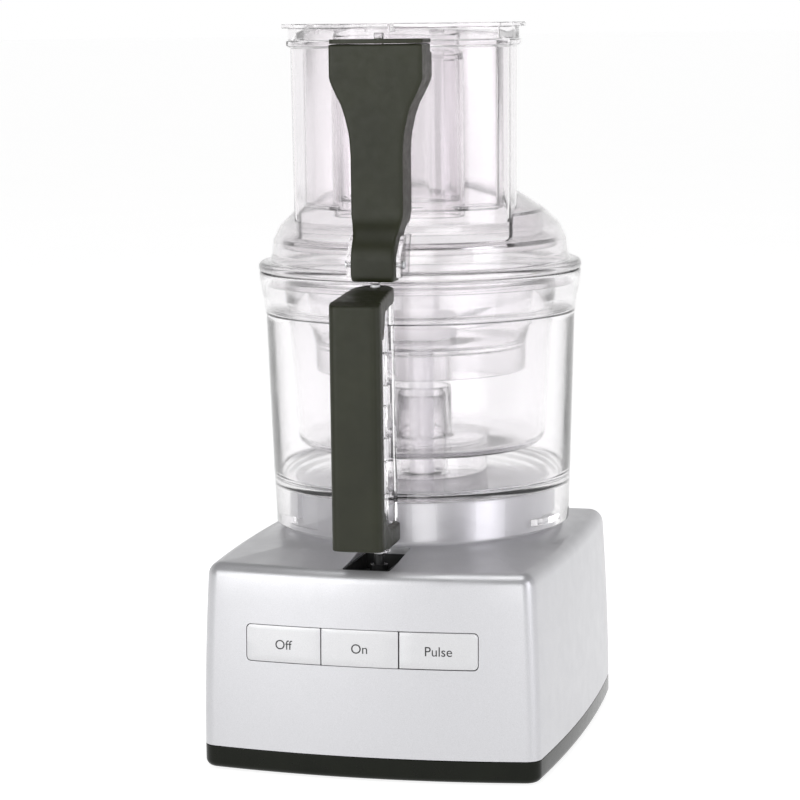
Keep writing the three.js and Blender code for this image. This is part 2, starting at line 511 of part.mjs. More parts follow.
function handleCover() {
  const h = HANDLE;
  const slope = (h.topBack - h.topFront) / (h.backY + 6 - h.frontY);
  const topAt = (y) => h.topFront + slope * (y - h.frontY);
  const grip = prismZ(polygon([[-h.halfX + 3, h.frontY], [h.halfX - 3, h.frontY], [h.halfX, h.frontY + 3],
    [h.halfX, h.frontY + 7], [h.gripBackHalfX, h.gripBackY], [-h.gripBackHalfX, h.gripBackY],
    [-h.halfX, h.frontY + 7], [-h.halfX, h.frontY + 3]]), h.bottom, 300);
  const roof = prismX(polygon([[-140, 100], [-60, 100], [-60, topAt(-60)], [h.frontY, topAt(h.frontY)],
    [-140, topAt(h.frontY)]]), -20, 20);
  const arm = (halfFront, halfBack, backY) => {
    const s = new THREE.Shape();
    s.moveTo(-halfFront + 3, h.frontY);
    s.lineTo(halfFront - 3, h.frontY);
    s.lineTo(halfFront, h.frontY + 3);
    s.lineTo(halfBack, backY - halfBack);
    s.absarc(0, backY - halfBack, halfBack, 0, Math.PI, false);
    s.lineTo(-halfFront, h.frontY + 3);
    s.closePath();
    return s;
  };
  const top = prismZ(arm(h.halfX, 12.4, h.backY), 270, 300).intersect(prismX(polygon([
    [h.frontY, 270], [-118, 272], [-110, topAt(-110) - 8.4], [-60, topAt(-60) - 7.4], [-60, 300], [h.frontY, 300]]),
    -20, 20));
  const cup = prismZ(arm(h.halfX, h.cupHalfX, h.cupBackY), h.bottom, h.cupTop + 5).intersect(prismX(polygon([
    [h.frontY, h.bottom], [-60, h.bottom], [-60, h.cupTop - 1], [-98, h.cupTop], [-112, h.cupTop + 2],
    [-118, h.cupTop + 5], [h.frontY, h.cupTop + 5]]), -20, 20));
  const pocket = box(-SPINE.halfX - GAP, SPINE.halfX + GAP, SPINE.frontY - GAP, -50, SPINE.z0 - GAP, 170);
  const cover = cut(join(grip, top), pillar(ROD_R + 0.6, 250, 310, 0, ROD_Y));
  return cut(join(cover, cut(cup, pocket, pillar(7.7, 100, 160, 0, ROD_Y, 20), pillar(1.3, 100, 150, 0, -90.6, 10),
    pillar(2.3, 100, 142.2, 0, -90.6, 10), pillar(95.4, 100, 160, 0, BOWL_Y, ROUND))).intersect(roof),
  pillar(104, 280, 310, 0, BOWL_Y, ROUND));
}

function midiBowl() {
  const m = MIDI;
  return turnedRing([
    [m.chimneyR - 2.2, m.z], [m.footR - 2, m.z], [m.footR - 2, MAIN.floorTop + GAP], [m.footR, MAIN.floorTop + GAP],
    [m.footR, m.z], [75, m.z], [m.r, m.z + 5], [84.8, MAIN.ledgeZ + GAP],
    [m.flangeR, MAIN.ledgeZ + GAP], [m.flangeR, 273.6], [85.2, 273.6], [m.rimR, m.rimZ], [m.rimR - m.wall, m.rimZ],
    [82, 272], [78.2, m.z + 6.4], [74.4, m.z + 2.5], [m.chimneyR, m.z + 2.5],
    [m.chimneyR, m.chimneyTop], [m.chimneyR - 2.2, m.chimneyTop]]);
}

function miniBowl() {
  const m = MINI;
  return turnedRing([
    [m.tubeR - 2.3, m.tubeZ0], [m.tubeR, m.tubeZ0], [m.tubeR, m.floorZ], [64.8, m.floorZ],
    [64.8, m.skirtZ], [67, m.skirtZ], [67.3, 249.5], [71.5, 268], [73.2, 277],
    [76.2, m.flangeZ], [m.flangeR, m.flangeZ], [m.flangeR, m.flangeZ + 2.2], [74, m.flangeZ + 2.2], [71, 277],
    [69.3, 268], [65.1, m.floorTop], [m.tubeR, m.floorTop], [m.tubeR, m.tubeZ1],
    [m.tubeR - 2.3, m.tubeZ1]]);
}

function addBowls() {
  piece('main_bowl', mainBowl(), COLOUR.clear, 0.08);
  piece('handle_cover', handleCover(), COLOUR.olive, 0.45);
  piece('handle_screw', join(pillar(1.9, 140.6, 141.8, 0, -90.6, 10), pillar(0.9, 141.5, 156, 0, -90.6, 10)),
    COLOUR.steel, 0.35, 0.9);
  piece('midi_bowl', midiBowl(), COLOUR.clear, 0.08);
  piece('mini_bowl', miniBowl(), COLOUR.clear, 0.08);
  piece('bowl_rod', join(pillar(ROD_R, ROD_TIP_Z, 297.2, 0, ROD_Y), pillar(4.4, 152.4, 154.4, 0, ROD_Y)),
    COLOUR.clear, 0.2);
  piece('bowl_rod_spring', coil(3.9, 0.35, 145.2, 151.6, 4, 0, ROD_Y), COLOUR.steel, 0.3, 0.9);
}

// ---------------------------------------------------------------- lid, arm and pushers
function lidBody() {
  const dome = [[103, LID.flangeZ0], [103, LID.flangeZ1], [96, LID.flangeZ1], [94.4, 308], [93.4, 317], [88.9, 326],
    [78.9, 335.5], [61.7, 346.8], [40, 354], [0, 358]];
  const under = [[0, 355.4], [39, 351.5], [60.4, 344.6], [77.2, 333.6], [86.7, 324.6], [91, 316], [92, 308],
    [94.6, 300], [94.6, LID.skirtZ]];
  const shell = turned([...under, [LID.skirtR, LID.skirtZ], [LID.skirtR, LID.flangeZ0], ...dome]);
  const room = turned([...under, [0, LID.skirtZ]]);
  const ring = turnedRing([[78.7, 336.5], [78.7, 320], [87.6, 317], [87.6, 312], [85.6, 312], [85.6, 315.4],
    [76.7, 318.4], [76.7, 336.5]]);
  const domeForm = turned([[0, 280], [103, 280], ...dome.slice(1)]);
  const wall = loft([{ plan: feedPlan(-0.8), z: 324 }, { plan: feedPlan(0.4), z: TUBE.rimZ0 - 1.6 },
    { plan: feedPlan(TUBE.rimOut), z: TUBE.rimZ0 }, { plan: feedPlan(TUBE.rimOut), z: TUBE.rimZ1 }]);
  const hollow = loft([{ plan: feedPlan(-0.8 - TUBE.wall), z: 280 }, { plan: feedPlan(0.4 - TUBE.wall), z: 450 }]);
  let lid = join(shell, ring.intersect(domeForm), cut(wall, room));
  for (const s of [-1, 1]) {
    const bracket = box(s > 0 ? 14.2 : -16.8, s > 0 ? 16.8 : -14.2, -85, -50, 303, 326);
    lid = join(lid, cut(bracket, room));
    lid = cut(lid, barX(1.8, s > 0 ? 14 : -17, s > 0 ? 17 : -14, -80, 309, 10));
  }
  return cut(lid, hollow);
}

function lidArm() {
  const a = ARM;
  const right = [[a.footHalfX - 1, a.bottom], [a.footHalfX, a.bottom + 2], [a.footHalfX, 325], [a.neckHalfX, 336],
    [a.neckHalfX, 376], [17.2, 387], [19.2, 396], [21.6, 404], [25.2, 411], [a.headHalfX, 419], [a.headHalfX, a.top]];
  const left = right.map(([x, z]) => [-x, z]).reverse();
  const front = prismY(polygon([...right, ...left]), -95, -45);
  const side = prismX(polygon([[-73.7, a.bottom], [a.footFrontY + 1.5, a.bottom], [a.footFrontY, a.bottom + 4],
    [a.footFrontY, 319], [a.frontY, 333], [a.frontY, a.top], [-48, a.top], [-48, 334], [-60.5, 331.5],
    [a.footBackY, 317], [a.footBackY, 309.5], [-73.7, 306]].reverse()), -32, 32);
  const rodWay = prismX(polygon([[-85.4, 300.8], [-85.4, 316.5], [-72.6, 330.5], [-72.6, a.top + 1], [-40, a.top + 1],
    [-40, 300.8]].reverse()), -4, 4);
  const headRoom = box(-24, 24, -72.6, -58, 421, a.top + 1);
  let arm = cut(front.intersect(side), pillar(a.backR, 280, 460, 0, BOWL_Y, 72),
    pillar(a.backR + 3.2, 436, 460, 0, BOWL_Y, 72), rodWay, headRoom,
    box(-3, 3, -84.2, -77.8, 290, 305));
  for (const s of [-1, 1]) arm = cut(arm, barX(1.3, s > 0 ? 7 : -15, s > 0 ? 15 : -7, -80, 309, 10));
  return arm;
}

function addLid() {
  piece('lid', lidBody(), COLOUR.clear, 0.08);
  piece('lid_arm', lidArm(), COLOUR.olive, 0.45);
  const a = ARM;
  const capPlan = polygon([[-a.headHalfX, a.frontY], [a.headHalfX, a.frontY], [a.headHalfX, -48], [-a.headHalfX, -48]]);
  piece('lid_arm_cap', cut(prismZ(capPlan, a.top + GAP, a.capTop), pillar(a.backR + 2.9, 430, 450, 0, BOWL_Y, 80),
    box(-3, 3, -68, -62, 430, 450)), COLOUR.olive, 0.45);
  for (const s of [-1, 1]) {
    const [inner, face] = [s * 7.6, s * 17.1];
    const shank = barX(1, Math.min(inner, face), Math.max(inner, face), -80, 309, 10);
    const head = barX(2.6, Math.min(face, face + s * 1.4), Math.max(face, face + s * 1.4), -80, 309, 12);
    piece(s < 0 ? 'arm_screw_left' : 'arm_screw_right', join(shank, head), COLOUR.steel, 0.35, 0.9);
  }
  const rod = prismX(polygon([[-67.5, 447.4], [-67.5, 329], [-83.5, 313], [-83.5, 297.6], [-78.5, 297.6],
    [-78.5, 311], [-62.5, 327], [-62.5, 447.4]]), -2.5, 2.5);
  const collar = box(-4.6, 4.6, -69.6, -60.4, 433.8, 435.4);
  piece('lid_rod', join(rod, collar), COLOUR.olive, 0.5);
  piece('lid_rod_spring', coil(4.3, 0.4, 421.6, 433.2, 5, 0, ARM.rodY), COLOUR.steel, 0.3, 0.9);
}

function largePusher() {
  const p = PUSHER;
  const level = (out, z) => ({ plan: feedPlan(out), z });
  const outer = loft([level(p.outset - 1.2, p.bottom), level(p.outset - 0.2, p.bottom + 1.6),
    level(p.outset, p.collarZ - 0.2), level(p.collarOut, p.collarZ), level(p.collarOut, p.flangeZ0 - 0.2),
    level(p.flangeOut, p.flangeZ0), level(p.flangeOut, p.top)]);
  const inner = loft([level(p.outset - p.wall, p.bottom + p.floor), level(p.outset - p.wall + 0.4, p.top + 1)]);
  const tube = cut(prismZ(oblong(DOSER.halfX, DOSER.halfY, DOSER.y), DOSER.z0, DOSER.z1));
  const bore = prismZ(oblong(DOSER.halfX - DOSER.wall, DOSER.halfY - DOSER.wall, DOSER.y), 330, 460);
  const tab = box(-8, 8, -70.2, -55, p.tabZ0, p.top);
  return cut(join(cut(outer, inner), tab, tube), bore);
}

function dosingPusher() {
  const d = DOSING;
  const plan = (out) => oblong(d.halfX + out, d.halfY + out, DOSER.y);
  const body = join(prismZ(plan(0), d.z0, d.z1), prismZ(plan(2.2), d.flangeZ, d.flangeZ + 2.4));
  return cut(body, prismZ(plan(-d.wall), d.z0 + 2, d.z1 + 1));
}

function addPushers() {
  piece('large_pusher', largePusher(), COLOUR.clear, 0.08);
  piece('dosing_pusher', dosingPusher(), COLOUR.clear, 0.08);
}

addBase();
addControls();
addMotor();
addDrive();
addBowls();
addLid();
addPushers();

export default group;
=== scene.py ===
"""Looks of the food processor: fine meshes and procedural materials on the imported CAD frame.

Sizes are in millimetres until mesh vertices are made, and then in metres, in the frame's own axes:
+Z up, the buttons and the handle towards -Y, and the bowls' common axis upright at y = BOWL_Y.
"""

import math

import bmesh
import bpy
from mathutils import Matrix, Vector


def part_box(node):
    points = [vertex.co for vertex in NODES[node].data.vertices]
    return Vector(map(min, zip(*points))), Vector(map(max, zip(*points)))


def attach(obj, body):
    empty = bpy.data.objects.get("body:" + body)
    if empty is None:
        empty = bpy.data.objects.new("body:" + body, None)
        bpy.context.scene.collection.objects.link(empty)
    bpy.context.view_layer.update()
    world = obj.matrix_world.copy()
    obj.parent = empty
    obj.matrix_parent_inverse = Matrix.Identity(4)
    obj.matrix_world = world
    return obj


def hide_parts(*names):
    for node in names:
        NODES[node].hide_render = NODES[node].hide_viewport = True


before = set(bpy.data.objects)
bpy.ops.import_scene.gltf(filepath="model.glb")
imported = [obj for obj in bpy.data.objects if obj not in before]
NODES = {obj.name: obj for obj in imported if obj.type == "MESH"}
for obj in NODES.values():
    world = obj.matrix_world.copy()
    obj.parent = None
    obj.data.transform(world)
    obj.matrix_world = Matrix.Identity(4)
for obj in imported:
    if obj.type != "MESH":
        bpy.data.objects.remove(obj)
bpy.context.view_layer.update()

MM = 0.001
BOWL_Y = 30.5
BASE_Y = 5.8
ROD_Y = -81.0                     # the safety rod in the handle's spine, and the plunger under it
AROUND = 144                      # facets round a bowl
PIN = 32                          # facets round a pin or screw


def top_of(node):
    """Highest z of a CAD node, in millimetres."""
    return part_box(node)[1].z / MM


# ------------------------------------------------------------------ mesh helpers
def new_object(name, bm):
    """Turns a bmesh in millimetres into an object in metres, with its faces pointing outwards."""
    bmesh.ops.scale(bm, vec=(MM, MM, MM), verts=bm.verts)
    bmesh.ops.recalc_face_normals(bm, faces=bm.faces)
    mesh = bpy.data.meshes.new(name)
    bm.to_mesh(mesh)
    bm.free()
    obj = bpy.data.objects.new(name, mesh)
    bpy.context.scene.collection.objects.link(obj)
    return obj


def rings_mesh(name, rings, loop=False):
    """A skin over rings of points: loop joins the last to the first, otherwise both ends are capped."""
    bm = bmesh.new()
    rows = [[bm.verts.new(p) for p in ring] for ring in rings]
    pairs = list(zip(rows, rows[1:]))
    if loop:
        pairs.append((rows[-1], rows[0]))
    for low, high in pairs:
        count = len(low)
        for i in range(count):
            j = (i + 1) % count
            bm.faces.new((low[i], low[j], high[j], high[i]))
    if not loop:
        bm.faces.new(rows[0])
        bm.faces.new(rows[-1])
    return new_object(name, bm)


def circle(radius, z, x=0.0, y=BOWL_Y, sides=AROUND):
    """Points round an upright axis. The first lies towards -Y."""
    turn = 2 * math.pi / sides
    return [(x + radius * math.sin(i * turn), y - radius * math.cos(i * turn), z) for i in range(sides)]


def fillet(points, closed=True, steps=4):
    """Rounds the corners of an outline: a point (a, b, r) gets an arc of radius r, and (a, b) stays sharp."""
    out = []
    count = len(points)
    for i, (a, b, *radius) in enumerate(points):
        at_end = not closed and i in (0, count - 1)
        if at_end or not radius or radius[0] <= 0:
            out.append((a, b))
            continue
        here = Vector((a, b))
        back = Vector(points[i - 1][:2]) - here
        ahead = Vector(points[(i + 1) % count][:2]) - here
        angle = back.angle(ahead)
        reach = min(radius[0] / math.tan(angle / 2), back.length * 0.49, ahead.length * 0.49)
        back.normalize()
        ahead.normalize()
        arc = reach * math.tan(angle / 2)
        middle = here + (back + ahead).normalized() * (arc / math.sin(angle / 2))
        start = here + back * reach - middle
        end = here + ahead * reach - middle
        a0 = math.atan2(start.y, start.x)
        sweep = (math.atan2(end.y, end.x) - a0 + math.pi) % (2 * math.pi) - math.pi
        for k in range(steps + 1):
            a1 = a0 + sweep * k / steps
            out.append((middle.x + arc * math.cos(a1), middle.y + arc * math.sin(a1)))
    return out


def turned(name, profile, x=0.0, y=BOWL_Y, sides=AROUND, steps=4):
    """A closed ring profile [(radius, z, rounding)] turned about an upright axis."""
    return rings_mesh(name, [circle(r, z, x, y, sides) for r, z in fillet(profile, True, steps)], loop=True)


def spun(name, profile, x=0.0, y=BOWL_Y, sides=PIN, steps=3):
    """A solid of revolution: the profile's two ends are flat discs."""
    return rings_mesh(name, [circle(r, z, x, y, sides) for r, z in fillet(profile, False, steps)])


AXES = {"X": ((0, 1, 0), (0, 0, 1), (1, 0, 0)), "Y": ((1, 0, 0), (0, 0, 1), (0, 1, 0)),
        "Z": ((1, 0, 0), (0, 1, 0), (0, 0, 1))}


def prism(name, outline, low, high, axis="Z"):
    """An outline carried along an axis: (x, y) along Z, (y, z) along X, (x, z) along Y."""
    u, v, w = (Vector(a) for a in AXES[axis])
    return rings_mesh(name, [[u * a + v * b + w * t for a, b in outline] for t in (low, high)])


def block(name, x0, x1, y0, y1, z0, z1):
    return prism(name, [(x0, y0), (x1, y0), (x1, y1), (x0, y1)], z0, z1)


def rounded_rect(x0, x1, y0, y1, r, steps=6):
    return fillet([(x0, y0, r), (x1, y0, r), (x1, y1, r), (x0, y1, r)], True, steps)


def boolean(obj, tools, operation="DIFFERENCE"):
    """Cuts the tools from obj, or joins them to it, and removes the tools."""
    for tool in tools:
        mod = obj.modifiers.new("cut", "BOOLEAN")
        mod.operation = operation
        mod.solver = "MANIFOLD"
        mod.object = tool
        bake(obj)
        if not obj.data.polygons:
            raise RuntimeError(f"boolean emptied {obj.name} with {tool.name}")
        bpy.data.objects.remove(tool)
    return obj


def bake(obj):
    """Applies every modifier."""
    bpy.context.view_layer.update()
    graph = bpy.context.evaluated_depsgraph_get()
    mesh = bpy.data.meshes.new_from_object(obj.evaluated_get(graph))
    obj.modifiers.clear()
    old = obj.data
    obj.data = mesh
    mesh.name = old.name
    bpy.data.meshes.remove(old)
    return obj


def bevel(obj, width, segments=3, angle=35):
    mod = obj.modifiers.new("bevel", "BEVEL")
    mod.width = width * MM
    mod.segments = segments
    mod.limit_method = "ANGLE"
    mod.angle_limit = math.radians(angle)
    mod.use_clamp_overlap = True
    mod.harden_normals = False
    return bake(obj)


def soften(obj, voxel, rounds):
    """Remeshes a solid finely and relaxes it, which rounds its edges as a moulding's are."""
    mod = obj.modifiers.new("remesh", "REMESH")
    mod.mode = "VOXEL"
    mod.voxel_size = voxel * MM
    bake(obj)
    mod = obj.modifiers.new("relax", "SMOOTH")
    mod.factor = 0.5
    mod.iterations = rounds
    bake(obj)
    return obj


def finish_piece(obj, material, body, *nodes, slot=None, sharp=32):
    """Shades a piece, gives it its material and puts it on its CAD body in place of the CAD nodes."""
    mesh = obj.data
    mesh.materials.clear()
    mesh.materials.append(material)
    for face in mesh.polygons:
        face.use_smooth = True
    mesh.set_sharp_from_angle(angle=math.radians(sharp))
    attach(obj, body)
    if nodes:
        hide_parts(*nodes)
    return obj


# ------------------------------------------------------------------ materials
class Surface:
    """A Principled material with noise-driven colour, roughness and bump."""

    def __init__(self, name, **sockets):
        self.material = bpy.data.materials.new(name)
        self.material.use_nodes = True
        self.tree = self.material.node_tree
        self.shader = self.tree.nodes["Principled BSDF"]
        for key, value in sockets.items():
            self.shader.inputs[key.replace("_", " ")].default_value = value
        self.place = self.tree.nodes.new("ShaderNodeTexCoord").outputs["Object"]

    def noise(self, scale, detail=3.0, rough=0.5, stretch=None):
        """A noise pattern, scale in features per metre, optionally stretched along the axes."""
        node = self.tree.nodes.new("ShaderNodeTexNoise")
        node.inputs["Scale"].default_value = scale
        node.inputs["Detail"].default_value = detail
        node.inputs["Roughness"].default_value = rough
        source = self.place
        if stretch:
            mapping = self.tree.nodes.new("ShaderNodeMapping")
            mapping.inputs["Scale"].default_value = stretch
            self.tree.links.new(source, mapping.inputs["Vector"])
            source = mapping.outputs["Vector"]
        self.tree.links.new(source, node.inputs["Vector"])
        return node.outputs["Fac"]

    def spread(self, pattern, low, high):
        """Maps a 0.3..0.7 pattern to low..high."""
        node = self.tree.nodes.new("ShaderNodeMapRange")
        node.inputs["From Min"].default_value = 0.3
        node.inputs["From Max"].default_value = 0.7
        node.inputs["To Min"].default_value = low
        node.inputs["To Max"].default_value = high
        self.tree.links.new(pattern, node.inputs["Value"])
        return node.outputs["Result"]

    def roughness(self, pattern, low, high):
        self.tree.links.new(self.spread(pattern, low, high), self.shader.inputs["Roughness"])
        return self

    def colours(self, pattern, first, second):
        ramp = self.tree.nodes.new("ShaderNodeValToRGB")
        ramp.color_ramp.elements[0].position = 0.35
        ramp.color_ramp.elements[1].position = 0.65
        ramp.color_ramp.elements[0].color = (*first, 1)
        ramp.color_ramp.elements[1].color = (*second, 1)
        self.tree.links.new(pattern, ramp.inputs["Fac"])
        self.tree.links.new(ramp.outputs["Color"], self.shader.inputs["Base Color"])
        return self

    def bump(self, pattern, height_mm, strength=1.0):
        node = self.tree.nodes.new("ShaderNodeBump")
        node.inputs["Strength"].default_value = strength
        node.inputs["Distance"].default_value = height_mm * MM
        self.tree.links.new(pattern, node.inputs["Height"])
        self.tree.links.new(node.outputs["Normal"], self.shader.inputs["Normal"])
        return self

    def lamps_pass(self, tint):
        """Lets the lamps' light straight through, tinted, so that what is behind clear plastic is lit."""
        path = self.tree.nodes.new("ShaderNodeLightPath")
        clear = self.tree.nodes.new("ShaderNodeBsdfTransparent")
        clear.inputs["Color"].default_value = (*tint, 1)
        mix = self.tree.nodes.new("ShaderNodeMixShader")
        self.tree.links.new(path.outputs["Is Shadow Ray"], mix.inputs["Fac"])
        self.tree.links.new(self.shader.outputs["BSDF"], mix.inputs[1])
        self.tree.links.new(clear.outputs["BSDF"], mix.inputs[2])
        self.tree.links.new(mix.outputs["Shader"], self.tree.nodes["Material Output"].inputs["Surface"])
        return self


PANE_PASS = 0.93                  # share of the lamps' light that one clear surface lets straight through


def clear_plastic(name, tint, rough=(0.012, 0.03)):
    """Clear moulded copolyester: a faint tint, and the slow ripple and fine haze of a moulding."""
    s = Surface(name, Transmission_Weight=1.0, IOR=1.47, Metallic=0.0)
    s.colours(s.noise(14, 2), tint, tuple(min(1.0, c * 1.008) for c in tint))
    s.roughness(s.noise(60, 3), *rough)
    s.bump(s.noise(22, 1), 0.02, 0.5)
    s.lamps_pass(tuple(c * PANE_PASS for c in tint))
    return s.material


def silver_paint(name, low, high, rough, metallic=0.75):
    s = Surface(name, Metallic=metallic, Coat_Weight=0.25, Coat_Roughness=0.18)
    s.colours(s.noise(2600, 2, 0.7), low, high)
    s.roughness(s.noise(90, 4), *rough)
    s.bump(s.noise(1900, 2, 0.6), 0.012, 0.5)
    return s.material


def moulded(name, low, high, rough, grain_mm=0.02, grain=1300, **sockets):
    s = Surface(name, **sockets)
    s.colours(s.noise(35, 4, 0.6), low, high)
    s.roughness(s.noise(220, 4, 0.6), *rough)
    s.bump(s.noise(grain, 3, 0.6), grain_mm, 0.7)
    return s.material


def metal(name, low, high, rough, stretch=(1, 1, 14), bump_mm=0.01, metallic=1.0):
    s = Surface(name, Metallic=metallic)
    s.colours(s.noise(160, 4, 0.6, stretch), low, high)
    s.roughness(s.noise(420, 4, 0.6, stretch), *rough)
    s.bump(s.noise(700, 3, 0.6, stretch), bump_mm, 0.6)
    return s.material


CLEAR = clear_plastic("clear_bowl", (0.970, 0.963, 0.970), (0.05, 0.09))
CLEAR_LID = clear_plastic("clear_lid", (0.945, 0.932, 0.942), (0.07, 0.12))
CLEAR_INNER = clear_plastic("clear_inner_bowl", (0.972, 0.966, 0.972), (0.04, 0.08))
SILVER = silver_paint("silver_paint", (0.50, 0.50, 0.515), (0.58, 0.58, 0.60), (0.32, 0.40), 0.6)
BUTTON = silver_paint("button_paint", (0.53, 0.53, 0.54), (0.61, 0.61, 0.62), (0.36, 0.44), 0.55)
OLIVE = moulded("olive_moulding", (0.0125, 0.014, 0.0052), (0.017, 0.019, 0.0078), (0.34, 0.48),
                Specular_IOR_Level=0.3)
BLACK = moulded("black_moulding", (0.0036, 0.0046, 0.0022), (0.006, 0.0074, 0.0038), (0.13, 0.22), 0.006,
                Specular_IOR_Level=0.16)
WELL_BLACK = moulded("black_recess", (0.004, 0.005, 0.005), (0.007, 0.007, 0.007), (0.45, 0.62))
RUBBER = moulded("black_rubber", (0.015, 0.015, 0.015), (0.028, 0.028, 0.028), (0.75, 0.92), 0.05, 700)
WHITE = moulded("pale_moulding", (0.88, 0.88, 0.88), (0.92, 0.92, 0.915), (0.32, 0.45))
DARK = moulded("dark_inner_moulding", (0.05, 0.05, 0.055), (0.075, 0.075, 0.08), (0.45, 0.6))
INK = moulded("printed_ink", (0.010, 0.010, 0.011), (0.016, 0.016, 0.017), (0.45, 0.55), 0.004)
BOARD = moulded("circuit_board", (0.02, 0.12, 0.055), (0.03, 0.17, 0.08), (0.4, 0.6), 0.03, 500)
STEEL = metal("brushed_steel", (0.55, 0.56, 0.58), (0.68, 0.69, 0.70), (0.22, 0.36))
BLADE = metal("ground_blade", (0.62, 0.63, 0.65), (0.76, 0.77, 0.78), (0.10, 0.22), (14, 1, 1))
PALE_STEEL = metal("satin_spindle", (0.88, 0.88, 0.89), (0.94, 0.94, 0.94), (0.42, 0.56), metallic=0.3)
COPPER = metal("enamelled_wire", (0.55, 0.22, 0.09), (0.68, 0.30, 0.13), (0.28, 0.45), (1, 1, 30), 0.25)
LAMINATIONS = metal("sheet_stack", (0.16, 0.165, 0.17), (0.30, 0.30, 0.31), (0.40, 0.6), (1, 1, 60), 0.12)


# ------------------------------------------------------------------ base
BASE = dict(half_w=109.7, half_d=127.6, side_bow=3.5e-4, front_bow=9.2e-4, back_bow=3.3e-4, lean=3.8,
            lean_power=1.8, corner=10.0, edge=8.0, bottom=15.4, top=128.4, wall=2.6)
CROWN_R, CROWN_TOP = 88.0, 132.6
BOSS_R = 84.5
BOSS_TOP = top_of("base_housing")
POST_X, POST_Y, FOOT_X, FOOT_Y = 94, 109, 82, 98
CORNERS = ((-1, -1), (-1, 1), (1, -1), (1, 1))


def quarter_plan(half_w, half_d, r, end_bow, per_corner, per_side):
    """A quarter of the base's plan, from the middle of an end to just short of the middle of a side.

    The end and the side are shallow parabolas, which run tangentially into the corner's arc.
    """
    side_bow = BASE["side_bow"]
    cx, cy, end_lean, side_lean = half_w - r, half_d - r, 0.0, 0.0
    for _ in range(8):
        end_x, side_y = cx + r * math.sin(end_lean), cy + r * math.sin(side_lean)
        end_lean, side_lean = math.atan(2 * end_bow * end_x), math.atan(2 * side_bow * side_y)
        cx = half_w - side_bow * side_y ** 2 - r * math.cos(side_lean)
        cy = half_d - end_bow * end_x ** 2 - r * math.cos(end_lean)
    end = [end_x * i / per_side for i in range(per_side)]
    turns = [end_lean + (math.pi / 2 - side_lean - end_lean) * i / per_corner for i in range(per_corner + 1)]
    side = [side_y * (1 - i / per_side) for i in range(1, per_side)]
    return ([(x, half_d - end_bow * x * x) for x in end]
            + [(cx + r * math.sin(a), cy + r * math.cos(a)) for a in turns]
            + [(half_w - side_bow * y * y, y) for y in side])


def base_plan(half_w, half_d, r, per_corner=9, per_side=9):
    """The base's bowed plan about (0, BASE_Y), from its half-sizes at mid-side. Every size has as many points."""
    front = quarter_plan(half_w, half_d, r, BASE["front_bow"], per_corner, per_side)
    back = quarter_plan(half_w, half_d, r, BASE["back_bow"], per_corner, per_side)
    right = [(x, BASE_Y - y) for x, y in front] + [(half_w, BASE_Y)]
    right += [(x, BASE_Y + y) for x, y in reversed(back)]
    return right + [(-x, y) for x, y in reversed(right[1:-1])]


def lean_at(z):
    """How far the base's wall has leaned in at height z."""
    rise = max(0.0, (z - BASE["bottom"]) / (BASE["top"] - BASE["bottom"]))
    return BASE["lean"] * rise ** BASE["lean_power"]


def base_outline(z, inset=0.0, pull=0.0):
    """The base's outline at height z, set in by the wall and by the rounding of its top edge."""
    off = inset + lean_at(z) + pull
    return base_plan(BASE["half_w"] - off, BASE["half_d"] - off, max(2.5, BASE["corner"] - inset - pull))


def at_height(plan, z):
    return [(x, y, z) for x, y in plan]


def toward_circle(plan, radius, share, z):
    """Points between a plan and the circle of that radius about the bowls' axis."""
    ring = []
    for x, y in plan:
        a = math.atan2(y - BOWL_Y, x)
        cx, cy = radius * math.cos(a), BOWL_Y + radius * math.sin(a)
        ring.append((x + (cx - x) * share, y + (cy - y) * share, z))
    return ring


def base_rings(inset, edge_steps):
    """Outlines from the foot of the wall up over the rounded top edge."""
    edge, top = BASE["edge"] - inset, BASE["top"] - inset
    rings = [at_height(base_outline(z, inset), z) for z in (BASE["bottom"], 30, 50, 70, 90, 108, top - edge)]
    for i in range(1, edge_steps + 1):
        a = math.radians(90 * i / edge_steps)
        z, pull = top - edge + edge * math.sin(a), edge * (1 - math.cos(a))
        rings.append(at_height(base_outline(z, inset, pull), z))
    return rings


